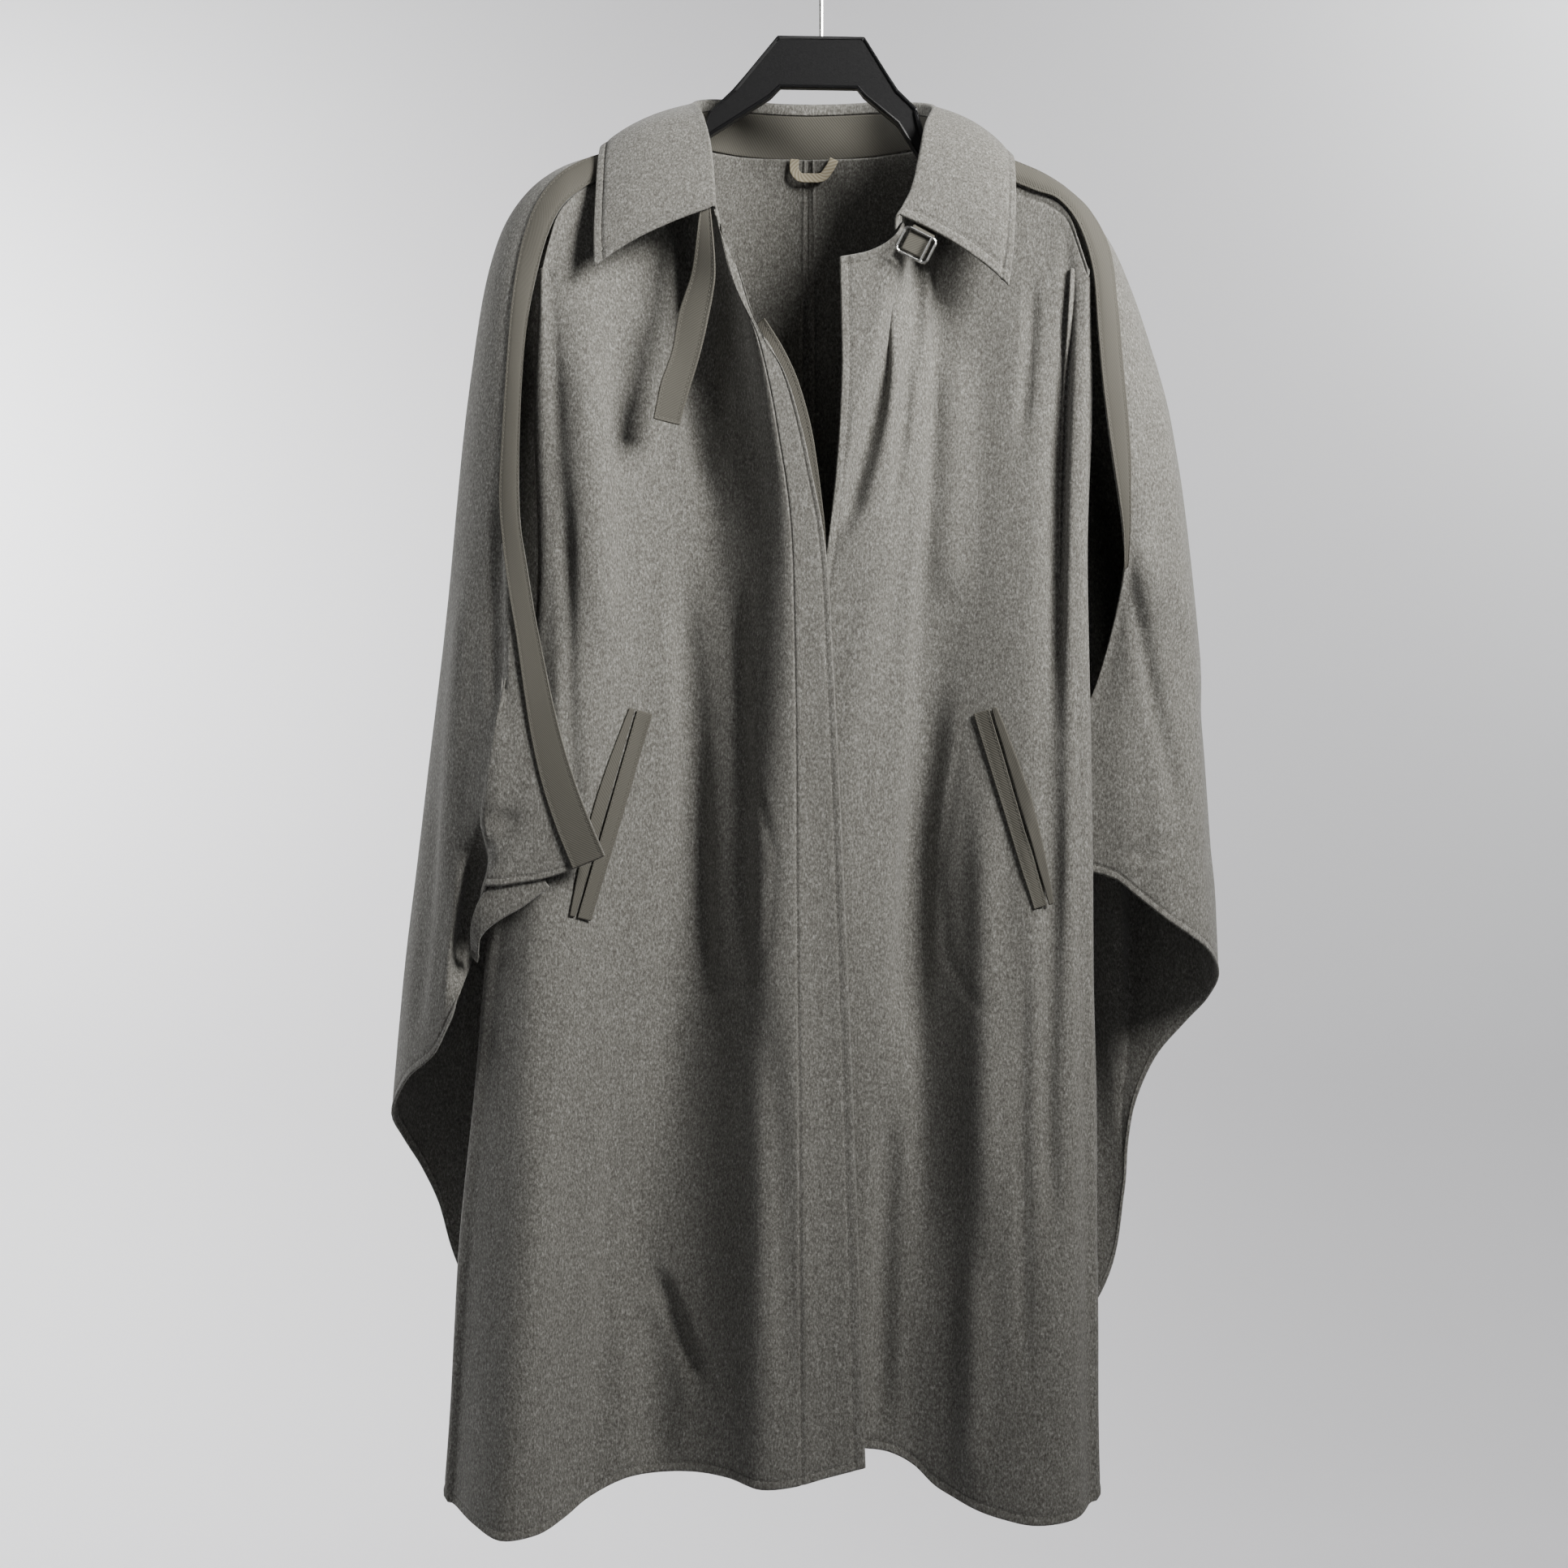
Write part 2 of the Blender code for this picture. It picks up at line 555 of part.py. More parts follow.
def wing_points(sections, hem, turn):
    """A wing from its free front edge over the outermost line to the back seam."""
    down = np.linspace(0.0, 1.0, WING_ROWS)
    ribs = interpolate(np.linspace(0.0, 1.0, len(sections)), table(sections), down)
    back = interpolate(np.linspace(0.0, 1.0, len(BACK_SEAM)), table(BACK_SEAM), down)
    back[:, 0] = MIDDLE_X + turn * (back[:, 0] + SEAM_GAP)
    front, side = ribs[:, :3], ribs[:, 3:]
    hem_table = table(hem)
    hem_line = interpolate(hem_table[:, 0], hem_table[:, 1:], WING_ROUND)
    share = PLEAT_START_SHARE + (PLEAT_HEM_SHARE - PLEAT_START_SHARE) * ramp(down, 0.7, 1.0)
    crease = np.arcsin(share) * 2.0 / math.pi
    points = np.empty((WING_ROWS, len(WING_ROUND), 3))
    for column, place in enumerate(WING_ROUND):
        if place <= PLEAT_ROUND:
            inner, turned = front, crease * place / PLEAT_ROUND
        elif place <= 1.0:
            beyond = (place - PLEAT_ROUND) / (1.0 - PLEAT_ROUND)
            inner, turned = front, crease + (1.0 - crease) * beyond
        else:
            inner, turned = back, np.full(WING_ROWS, 2.0 - place)
        angle = (turned * math.pi / 2)[:, None]
        spot = inner + (side - inner) * np.sin(angle)
        spot[:, 1] = (inner + (side - inner) * (1.0 - np.cos(angle)))[:, 1]
        points[:, column] = spot
    correction = hem_line - points[-1]
    return points + ramp(down, 1.0 - HEM_REACH, 1.0)[:, None, None] * correction[None]


def deepen_pleat(points):
    """The right wing's pleat, which opens towards the hem beside the front corner."""
    down = np.linspace(0.0, 1.0, WING_ROWS)
    depth = PLEAT_DEPTH * ramp(down, PLEAT_BEGINS, 1.0)
    hemwards = ramp(down, PLEAT_NARROWS, 1.0)[:, None]
    halves = PLEAT_HALF_ABOVE + (PLEAT_HALF - PLEAT_HALF_ABOVE) * hemwards
    middles = PLEAT_ROUND + PLEAT_SHIFT * (1.0 - hemwards)
    points[:, :, 1] += depth[:, None] * hump(WING_ROUND, middles, halves)


def raise_inner_fold(points):
    """The fold of the left wing's back that comes forward under its front hem."""
    down = np.linspace(0.0, 1.0, WING_ROWS)
    height = INNER_FOLD_DEPTH * ramp(down, 0.45, 0.68) * (1.0 - ramp(down, 0.72, 0.98))
    points[:, :, 1] -= height[:, None] * hump(WING_ROUND, INNER_FOLD_ROUND, INNER_FOLD_HALF)[None]


def strip_of(points, widths, steps):
    """Points at even distances from a grid's first column, row by row, up to each width."""
    rows = []
    for line, width in zip(points, widths):
        chords = np.concatenate(([0.0], np.cumsum(np.linalg.norm(np.diff(line, axis=0), axis=1))))
        distances = np.linspace(0.0, width, steps)
        rows.append(np.stack([np.interp(distances, chords, line[:, k]) for k in range(3)], axis=1))
    return np.array(rows)


def band(name, wing, widths, first_row, flip):
    """A gabardine band that lies on the wing along its free edge."""
    lifted = wing + grid_normals(wing, flip) * BAND_GAP
    strip = strip_of(lifted[first_row:], widths, BAND_COLUMNS)
    strip += grid_normals(strip, flip) * GABARDINE
    cloth(name, strip, "gabardine", GABARDINE, flip)


def back_panel(name, turn):
    down = np.linspace(0.0, 1.0, BACK_ROWS)
    seam = interpolate(np.linspace(0.0, 1.0, len(BACK_SEAM)), table(BACK_SEAM), down)
    seam[:, 0] = MIDDLE_X + turn * (seam[:, 0] - SEAM_GAP)
    centre = line_through(CENTRE_BACK, BACK_ROWS)
    centre[:, 0] = MIDDLE_X + turn * SEAM_GAP
    neck = neck_line([5, 6] if turn < 0 else [9, 8])
    neck = np.concatenate((seam[:1], neck, centre[:1]))
    hem = np.array((seam[-1], (seam[-1] + centre[-1]) / 2 + (0.0, HEM_SWELL, 0.0), centre[-1]))
    points = patch(line_through(neck, BACK_COLUMNS), line_through(hem, BACK_COLUMNS),
                   seam, centre)
    cloth(name, points, "wool", WOOL, flip=turn > 0)


def collar():
    """The fall rolls over the fold and ends inside, on the stand's upper edge."""
    rows = interpolate(np.arange(len(COLLAR)), table(COLLAR),
                       np.linspace(0, len(COLLAR) - 1, COLLAR_ROWS))
    seam, fold, edge = rows[:, :3], rows[:, 3:6], rows[:, 6:]
    outward = edge - fold
    outward[:, 2] = 0.0
    reach = np.linalg.norm(outward, axis=1, keepdims=True)
    outward = outward / reach
    up = np.array((0.0, 0.0, 1.0))
    stand_height = (fold - seam)[:, 2:3]
    whole = ramp(np.abs(np.linspace(-1.0, 1.0, COLLAR_ROWS)), *LEG_WHOLE)[:, None]
    inside = np.minimum(COLLAR_INSIDE, 0.5 * stand_height)
    inside += whole * (LEG_SHARE * stand_height - inside)
    along = np.gradient(fold, axis=0)
    steep = np.linalg.norm(along, axis=1) / np.linalg.norm(along[:, :2], axis=1)
    start = fold + outward * COLLAR_ROLL - up * 0.4 * COLLAR_ROLL
    end = ramp(np.abs(np.linspace(-1.0, 1.0, COLLAR_ROWS)), *COLLAR_END)[:, None]
    arch = FALL_ARCH + (END_ARCH - FALL_ARCH) * end
    control = start + outward * 0.62 * reach - up * arch * (start - edge)[:, 2:3]
    columns = [fold - outward * 0.6 * COLLAR_ROLL - up * inside,
               fold - outward * 0.55 * COLLAR_ROLL - up * 0.5 * inside,
               fold - outward * 0.3 * COLLAR_ROLL - up * 0.3 * COLLAR_ROLL,
               fold + outward * 0.25 * COLLAR_ROLL]
    for share in np.linspace(0.0, 1.0, FALL_STEPS):
        columns.append((1 - share) ** 2 * start + 2 * share * (1 - share) * control
                       + share ** 2 * edge)
    cloth("collar_fall", np.stack(columns, axis=1), "wool", WOOL, flip=True)
    foot = seam + up * SEAM_GAP
    head = fold - outward * 0.6 * COLLAR_ROLL - up * (inside + STAND_GAP * steep[:, None])
    stand = np.stack([foot + (head - foot) * share for share in (0.0, 0.5, 1.0)], axis=1)
    stand = stand[slice(*STAND_ROWS)]
    cloth("collar_stand", stand, "gabardine", STAND_WALL, flip=True)


def facing(front):
    """The gabardine facing behind the right front's edge, which rolls out near the neck."""
    face = Face(front)
    edge = line_through([Line(*point) for point in front[1:FACING_ROWS, -1]], FACING_STEPS)
    along = np.gradient(edge, axis=0)
    inward = np.stack((along[:, 2], -along[:, 0]), axis=1)
    inward /= np.linalg.norm(inward, axis=1, keepdims=True)
    down = np.linspace(0.0, 1.0, FACING_STEPS)
    shown = FACING_SHOWS * (1.0 - ramp(down, 0.35, 1.0))
    widen = FACING_NARROW + (1.0 - FACING_NARROW) * ramp(down, 0.0, 0.5)
    rows = []
    for (x, _, z), (way_x, way_z), beyond, wide in zip(edge, inward, shown, widen):
        offsets = np.array(FACING_OFFSETS) * wide
        behind = [face.at(x + way_x * offset, z + way_z * offset, -WOOL - FACING_GAP)
                  for offset in offsets]
        outward = behind[0] - behind[1]
        reach = (beyond + offsets[0]) / np.linalg.norm(outward)
        rows.append([behind[0] + outward * reach, *behind])
    cloth("facing_right", np.array(rows), "gabardine", GABARDINE)


def pocket(side, face, line, turn):
    """A slanted pocket: a wide welt on the middle side of the slit and a thin lip beyond it."""
    top, bottom = line
    shares = np.linspace(0.0, 1.0, WELT_STEPS)
    slit_x = top.x + (bottom.x - top.x) * shares
    slit_z = top.z + (bottom.z - top.z) * shares
    width = top.width + (bottom.width - top.width) * shares
    along = math.hypot(bottom.x - top.x, bottom.z - top.z)
    lean_x, lean_z = -turn * (top.z - bottom.z) / along, -turn * (bottom.x - top.x) / along
    lip = LIP_WIDTH + (LIP_BULGE * np.sin(shares * math.pi))
    for name, begin, reach in (("pocket_welt_" + side, SLIT_GAP, width),
                               ("pocket_lip_" + side, -SLIT_GAP, -lip)):
        rows = []
        for x, z, span in zip(slit_x, slit_z, reach):
            offsets = begin + np.linspace(0.0, 1.0, WELT_COLUMNS) * (span - begin)
            rows.append([face.at(x + lean_x * offset, z + lean_z * offset, WELT_LIFT)
                         for offset in offsets])
        flip = (turn > 0) == (begin > 0)
        cloth(name, uneven(np.array(rows)), "gabardine", GABARDINE, flip=not flip)


def strap():
    rows = line_through(STRAP, STRAP_STEPS)
    left_x, right_x, depth, height, twist = rows.T
    left = np.stack((left_x, depth + twist, height), axis=1)
    right = np.stack((right_x, depth - twist, height), axis=1)
    right[:, 2] -= np.linspace(0.0, STRAP_LEAN, STRAP_STEPS)
    points = np.stack([left + (right - left) * share for share in (0.0, 0.5, 1.0)], axis=1)
    cloth("collar_strap", points, "gabardine", STRAP_WALL, flip=True)


def wire(name, points, radius, finish, closed=False, resolution=2):
    made = bpy.data.curves.new(name, "CURVE")
    made.dimensions = "3D"
    made.bevel_depth = radius
    made.bevel_resolution = resolution
    made.resolution_u = 1
    made.render_resolution_u = 0
    made.use_fill_caps = not closed
    spline = made.splines.new("POLY")
    spline.points.add(len(points) - 1)
    for target, point in zip(spline.points, points):
        target.co = (*point, 1.0)
    spline.use_cyclic_u = closed
    return add_object(name, made, finish)


def buckle():
    """The frame and its prong hang from a gabardine tab under the collar's left end."""
    centre = Vector(BUCKLE_CENTRE)
    along = Vector((math.cos(BUCKLE_TURN), 0.0, math.sin(BUCKLE_TURN)))
    up = Vector((-along.z, 0.0, along.x))
    half_width, half_height = BUCKLE_WIDTH / 2, BUCKLE_HEIGHT / 2
    corners = []
    for corner_x, corner_z, first in ((1, 1, 0), (-1, 1, 90), (-1, -1, 180), (1, -1, 270)):
        for step in range(3):
            angle = math.radians(first + 45 * step)
            shift_x = corner_x * (half_width - BUCKLE_CORNER) + BUCKLE_CORNER * math.cos(angle)
            shift_z = corner_z * (half_height - BUCKLE_CORNER) + BUCKLE_CORNER * math.sin(angle)
            corners.append(centre + along * shift_x + up * shift_z)
    wire("buckle_frame", corners, BUCKLE_WIRE, "steel", closed=True)
    prong_side = half_width - 0.0045
    prong_y = Vector((0.0, -BUCKLE_WIRE - PRONG_WIRE - SEAM_GAP, 0.0))
    prong = [centre + along * prong_side + up * height + prong_y
             for height in (half_height, 0.0, -half_height - 0.001)]
    wire("buckle_prong", prong, PRONG_WIRE, "steel")
    tab_behind = Vector((0.0, BUCKLE_WIRE + SEAM_GAP, 0.0))
    rows = []
    for height, back in TAB_ROWS:
        middle = centre + up * height + tab_behind + Vector((0.0, back, 0.0))
        rows.append([middle + along * TAB_HALF * share for share in (-1.0, 0.0, 1.0)])
    cloth("buckle_tab", np.array(rows), "gabardine", STRAP_WALL, flip=True)


def hanging_loop():
    path = line_through(LOOP, LOOP_STEPS)
    along = np.gradient(path, axis=0)
    sideways = np.stack((-along[:, 2], np.zeros(LOOP_STEPS), along[:, 0]), axis=1)
    sideways /= np.linalg.norm(sideways, axis=1, keepdims=True)
    points = np.stack((path - sideways * LOOP_WIDTH / 2, path + sideways * LOOP_WIDTH / 2), axis=1)
    cloth("hanging_loop", points, "tape", LOOP_WALL, flip=False)


def underarm():
    """The ply of the right wing's hem that doubles back below its front corner."""
    rows = table(UNDERARM)
    upper, lower = rows[:, :3], rows[:, 3:]
    knots = np.linspace(0.0, 1.0, len(rows))
    at = np.linspace(0.0, 1.0, 2 * len(rows) - 1)
    upper, lower = interpolate(knots, upper, at), interpolate(knots, lower, at)
    points = np.stack((upper, (upper + lower) / 2, lower), axis=1)
    cloth("underarm_right", points, "wool", UNDERARM_WALL, flip=True)


def arm_line(index, sections):
    """The upper edge of one arm: below the neck seam, then just under the wing's ridge."""
    end_x = ARM_END_X[index]
    ridge = [(row.side_x, row.side_z - ARM_DROP) for row in sections[2:SLIT_SECTION]
             if abs(row.side_x) < abs(end_x)]
    after = next(row for row in sections if abs(row.side_x) >= abs(end_x))
    share = (end_x - ridge[-1][0]) / (after.side_x - ridge[-1][0])
    end_z = ridge[-1][1] + share * (after.side_z - ARM_DROP - ridge[-1][1])
    return [*ARM_UNDER_SEAM[index], *ridge, (end_x, end_z - ARM_END_ROUND)]


def hanger():
    outline = []
    for index, sections in ((0, WING_RIGHT), (1, WING_LEFT)):
        ridge = arm_line(index, sections)
        low = [(x, z - ARM_DEPTH * (1.0 - 0.35 * step / len(ridge)))
               for step, (x, z) in enumerate(ridge)][1:]
        half = [PLATE_TOP[index], PLATE_SHOULDER[index], ARM_NECK_TOP[index], *ridge,
                *low[::-1], ARM_LOW[index], ARM_NECK_LOW[index], PLATE_LOW[index]]
        outline += half[::-1] if index == 0 else half
    made = bpy.data.curves.new("hanger_body", "CURVE")
    made.dimensions = "2D"
    made.fill_mode = "BOTH"
    made.extrude = HANGER_THICK / 2
    made.resolution_u = 1
    made.render_resolution_u = 0
    spline = made.splines.new("POLY")
    spline.points.add(len(outline) - 1)
    for target, (x, z) in zip(spline.points, outline):
        target.co = (x, z, 0.0, 1.0)
    spline.use_cyclic_u = True
    body = add_object("hanger_body", made, "plastic")
    body.rotation_euler = (math.radians(90), 0.0, 0.0)
    weld = body.modifiers.new("weld", "WELD")
    weld.merge_threshold = 0.0001
    rounded = body.modifiers.new("round", "BEVEL")
    rounded.width = HANGER_ROUND
    rounded.segments = 2
    rounded.limit_method = "ANGLE"

    ring_z = HOOK_WIRE / 2 - HOOK_RADIUS
    stem = [(HOOK_STEM_X, 0.0, HOOK_FOOT_Z), (HOOK_STEM_X, 0.0, -0.046),
            (HOOK_STEM_X + 0.0022, 0.0, -0.0385)]
    arc = [(HOOK_RADIUS * math.cos(angle), 0.0, ring_z + HOOK_RADIUS * math.sin(angle))
           for angle in np.linspace(math.radians(-48), HOOK_TIP_TURN, 26)]
    points = line_through([Line(*point) for point in stem + arc], 44)
    wire("hanger_hook", [tuple(point) for point in points], HOOK_WIRE / 2, "steel")


clear_scene()
coat = bpy.data.collections.new("wool_cape_coat")
bpy.context.scene.collection.children.link(coat)

top_right = top_line(WING_RIGHT, [3, 2, 1, 0], CORNER_RIGHT, -1)
top_left = top_line(WING_LEFT, [11, 12, 13, 14], CORNER_LEFT, 1)
front_right = front_panel("front_right", top_right, CENTRE_RIGHT, SIDE_RIGHT, BOTTOM_RIGHT,
                          FOLDS_RIGHT, -1)
front_left = front_panel("front_left", top_left, CENTRE_LEFT, SIDE_LEFT, BOTTOM_LEFT,
                         FOLDS_LEFT, 1)
wing_right = wing_points(WING_RIGHT, HEM_RIGHT, -1)
deepen_pleat(wing_right)
cloth("wing_right", wing_right, "wool", WOOL, flip=False)
wing_left = wing_points(WING_LEFT, HEM_LEFT, 1)
raise_inner_fold(wing_left)
cloth("wing_left", wing_left, "wool", WOOL, flip=True)
band("band_right", wing_right, np.full(WING_ROWS - BAND_FIRST_ROW, BAND_WIDTH), BAND_FIRST_ROW, False)
left_rows = BAND_LEFT_ROWS - BAND_FIRST_ROW
left_widths = BAND_WIDTH * (1.0 - BAND_LEFT_TAPER * ramp(np.arange(left_rows), BAND_LEFT_WHOLE, left_rows))
band("band_left", wing_left[:BAND_LEFT_ROWS], left_widths, BAND_FIRST_ROW, True)
back_panel("back_right", -1)
back_panel("back_left", 1)
underarm()
collar()
facing(front_right)
pocket("right", Face(front_right), POCKET_RIGHT, -1)
pocket("left", Face(front_left), POCKET_LEFT, 1)
strap()
buckle()
hanging_loop()
hanger()
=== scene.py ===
"""The looks of a wool cape coat that hangs on a plastic hanger."""

import math
from collections import namedtuple

import bmesh
import bpy
import numpy as np
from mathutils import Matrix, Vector, noise


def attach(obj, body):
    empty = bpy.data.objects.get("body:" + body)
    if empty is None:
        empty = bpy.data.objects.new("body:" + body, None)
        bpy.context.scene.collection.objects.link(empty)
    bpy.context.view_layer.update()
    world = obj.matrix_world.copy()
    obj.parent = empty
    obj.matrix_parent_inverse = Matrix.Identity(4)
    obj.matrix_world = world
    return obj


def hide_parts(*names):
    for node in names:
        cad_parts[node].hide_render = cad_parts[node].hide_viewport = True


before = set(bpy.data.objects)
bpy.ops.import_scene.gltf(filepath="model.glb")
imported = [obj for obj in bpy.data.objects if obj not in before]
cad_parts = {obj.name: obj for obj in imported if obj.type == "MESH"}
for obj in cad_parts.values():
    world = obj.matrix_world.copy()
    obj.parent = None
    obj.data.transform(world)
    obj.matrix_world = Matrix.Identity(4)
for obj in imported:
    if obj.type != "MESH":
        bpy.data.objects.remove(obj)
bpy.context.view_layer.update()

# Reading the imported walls: joining distance, angles in degrees, and rim faces in wall widths
MERGE = 2e-5
SHARP = (66, 60, 54, 48, 42, 36, 30, 72, 78, 84)
NARROW = 1.8
WING_MIDDLE = 0.16

# Walls and spacing of points, in metres
WOOL_WALL = 0.0022
STRAP_WALL = 0.0018
STAND_WALL = 0.0014
LAID_WALL = 0.0011
TAPE_WALL = 0.0008
STEP = 0.0042
BACK_STEP = 0.005
FINE_STEP = 0.0026
NARROW_STEP = 0.0018
EDGE_STEPS = (0.0, 0.0008, 0.002, 0.0035, 0.0046, 0.0056, 0.0066, 0.0078, 0.0095, 0.012)
EDGE_SHARE = 0.45
RIM_BULGE = 0.45

# Stitches, creases and waves, in metres or as shares
STITCH_IN = 0.0056
COLLAR_STITCH = 0.0078
BAND_STITCH = 0.002
POCKET_STITCH = 0.0012
PLACKET = 0.038
SEAM_HALF = 0.0011
EDGE_PLUMP = 0.0004
STITCH_PITCH = 0.0033
STITCH_LONG = 0.0024
PLUMP_REACH = 0.9
THREAD = 0.00026
BEAD_SIDES = 5
BEAD_POINT = 1.6
BEAD_RISE = 0.35
SEAM_STEPS = (-0.0034, -0.0021, -0.0012, -0.0005, 0.0, 0.0005, 0.0012, 0.0021, 0.0034)
SEAM_ROOM = 0.0008
MILLIMETRES = 1000
CREASE_END = 0.22
CREASE_KEPT = 0.15
OUT_OF_REACH = 9.0
WAVE_STRETCH = 2.4

HANGER_RIM = 0.0024
HANGER_SINK = 0.0011
HANGER_FLAT = 1.0
HANGER_SMOOTH = 28.0
HANGER_FACING = 0.9

Panel = namedtuple("Panel", "rows columns down across outward wall slot flat area held step")
Crease = namedtuple("Crease", "points half depth")
Seam = namedtuple("Seam", "edge inset pull start stop", defaults=(0.0006, 0.004, 0.004))

DOWN, RIGHT, LEFT, BACK, FRONT, UP = ((0, 0, -1), (1, 0, 0), (-1, 0, 0), (0, 1, 0), (0, -1, 0),
                                      (0, 0, 1))
PANELS = {
    "front_right": Panel(23, 20, DOWN, RIGHT, FRONT, WOOL_WALL, "wool",
                         (0.36, 1.06), 0.300, "hung", STEP),
    "front_left": Panel(23, 20, DOWN, LEFT, FRONT, WOOL_WALL, "wool",
                        (0.31, 1.06), 0.252, "hung", STEP),
    "back_right": Panel(20, 9, DOWN, RIGHT, BACK, WOOL_WALL, "wool",
                        (0.20, 1.00), 0.160, "hung", BACK_STEP),
    "back_left": Panel(20, 9, DOWN, LEFT, BACK, WOOL_WALL, "wool",
                       (0.20, 1.00), 0.160, "hung", BACK_STEP),
    "wing_right": Panel(20, 20, DOWN, BACK, LEFT, WOOL_WALL, "wool",
                        (0.34, 1.05), 0.228, "hung", STEP),
    "wing_left": Panel(20, 20, DOWN, BACK, RIGHT, WOOL_WALL, "wool",
                       (0.32, 1.02), 0.200, "hung", STEP),
    "collar_fall": Panel(33, 11, RIGHT, DOWN, UP, WOOL_WALL, "wool",
                         (0.13, 0.56), 0.057, "folded", FINE_STEP),
    "collar_stand": Panel(21, 3, RIGHT, UP, None, STAND_WALL, "gabardine",
                          (0.036, 0.28), 0.0088, "hung", 0.003),
    "collar_strap": Panel(13, 3, DOWN, RIGHT, FRONT, STRAP_WALL, "gabardine",
                          (0.021, 0.17), None, "hung", 0.002),
    "band_right": Panel(17, 5, DOWN, LEFT, FRONT, LAID_WALL, "gabardine",
                        (0.025, 0.55), 0.0106, "laid", FINE_STEP),
    "band_left": Panel(12, 5, DOWN, RIGHT, FRONT, LAID_WALL, "gabardine",
                       (0.025, 0.33), 0.0061, "laid", FINE_STEP),
    "facing_right": Panel(10, 4, DOWN, RIGHT, FRONT, LAID_WALL, "gabardine",
                          (0.03, 0.21), 0.0047, "hung", FINE_STEP),
    "underarm_right": Panel(9, 3, LEFT, DOWN, FRONT, STRAP_WALL, "wool",
                            (0.03, 0.075), 0.0017, "folded", FINE_STEP),
    "buckle_tab": Panel(5, 2, DOWN, RIGHT, FRONT, STRAP_WALL, "gabardine",
                        (0.018, 0.034), None, "hung", 0.0016),
    "hanging_loop": Panel(11, 2, RIGHT, UP, FRONT, TAPE_WALL, "tape",
                          None, None, "hung", 0.0012),
    "pocket_welt_right": Panel(12, 3, DOWN, RIGHT, FRONT, LAID_WALL, "gabardine",
                               (0.0135, 0.165), None, "laid", NARROW_STEP),
    "pocket_welt_left": Panel(12, 3, DOWN, LEFT, FRONT, LAID_WALL, "gabardine",
                              (0.0130, 0.155), None, "laid", NARROW_STEP),
    "pocket_lip_right": Panel(12, 3, DOWN, LEFT, FRONT, LAID_WALL, "gabardine",
                              (0.0105, 0.160), 0.0014, "laid", NARROW_STEP),
    "pocket_lip_left": Panel(12, 3, DOWN, RIGHT, FRONT, LAID_WALL, "gabardine",
                             (0.0105, 0.150), 0.0013, "laid", NARROW_STEP),
}

# Creases and soft folds: points in X and Z, half width and depth, all in millimetres.
# A fold of negative depth stands out.
CREASES = {
    "front_right": (
        Crease(((-98, -240), (-97, -353), (-82, -440)), 15, 8.0),
        Crease(((-103, -470), (-96, -636), (-88, -830)), 17, 8.0),
        Crease(((-66, -480), (-60, -640), (-58, -790)), 14, 5.0),
        Crease(((-178, -300), (-170, -420), (-160, -560)), 24, -6.0),
        Crease(((-127, -1004), (-112, -1040), (-90, -1096)), 11, 6.0),
        Crease(((-118, -1030), (-122, -1090), (-128, -1165)), 26, 6.0),
        Crease(((-205, -880), (-212, -1000), (-224, -1170)), 22, -5.0),
        Crease(((-150, -850), (-158, -980), (-166, -1140)), 16, 4.0),
        Crease(((-40, -800), (-30, -950), (-22, -1120)), 18, 4.0),
        Crease(((-111, -591), (-79, -600), (-53, -633), (-34, -697), (-38, -762), (-60, -798),
                (-98, -801), (-144, -801)), 6, 1.1),
        Crease(((-190, -420), (-186, -600), (-180, -700)), 10, 4.0),
    ),
    "front_left": (
        Crease(((66, -255), (49, -332), (37, -385), (23, -438), (6, -470)), 13, 11.0),
        Crease(((100, -310), (98, -420), (94, -520)), 24, -6.0),
        Crease(((88, -560), (72, -690), (62, -846)), 20, 8.0),
        Crease(((52, -880), (47, -1000), (44, -1141)), 15, 6.0),
        Crease(((184, -232), (186, -275), (178, -425), (174, -600)), 8, 5.0),
        Crease(((160, -262), (158, -310), (150, -390)), 7, 4.0),
        Crease(((174, -640), (168, -875), (172, -1000)), 11, 5.0),
        Crease(((122, -640), (124, -800), (122, -980)), 18, -5.0),
        Crease(((112, -1000), (112, -1080), (108, -1170)), 16, -4.0),
        Crease(((111, -591), (99, -645), (89, -710), (94, -775), (118, -812), (166, -818)), 6, 1.1),
        Crease(((150, -760), (148, -900), (150, -1100)), 10, 3.0),
    ),
    "wing_left": (
        Crease(((230, -482), (237, -522), (253, -596), (266, -647), (269, -690)), 9, 5.0),
        Crease(((268, -684), (250, -697), (232, -703)), 7, 4.0),
        Crease(((250, -330), (262, -430), (280, -560)), 14, -4.0),
        Crease(((292, -560), (296, -640), (298, -730)), 9, 3.0),
    ),
    "wing_right": (
        Crease(((-228, -660), (-247, -690), (-260, -724)), 13, 8.0),
        Crease(((-262, -480), (-272, -600), (-281, -740)), 15, -5.0),
        Crease(((-234, -420), (-240, -520), (-236, -610)), 12, 4.0),
        Crease(((-290, -640), (-298, -760), (-305, -850)), 11, 4.0),
    ),
    "back_right": (
        Crease(((-95, -260), (-100, -500), (-108, -900)), 26, 8.0),
        Crease(((-50, -420), (-52, -700), (-60, -1120)), 22, -6.0),
        Crease(((-140, -520), (-146, -760), (-150, -1120)), 16, 6.0),
    ),
    "back_left": (
        Crease(((72, -250), (80, -520), (86, -960)), 24, 8.0),
        Crease(((34, -460), (38, -760), (42, -1120)), 20, -6.0),
        Crease(((124, -480), (130, -700), (134, -1120)), 17, 6.0),
    ),
}
BODY_MIDDLE = (-0.008, 0.0)


def packed(node):
    """The node's surface with its split points joined."""
    mesh = bmesh.new()
    mesh.from_mesh(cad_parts[node].data)
    bmesh.ops.remove_doubles(mesh, verts=mesh.verts, dist=MERGE)
    mesh.normal_update()
    mesh.edges.ensure_lookup_table()
    return mesh


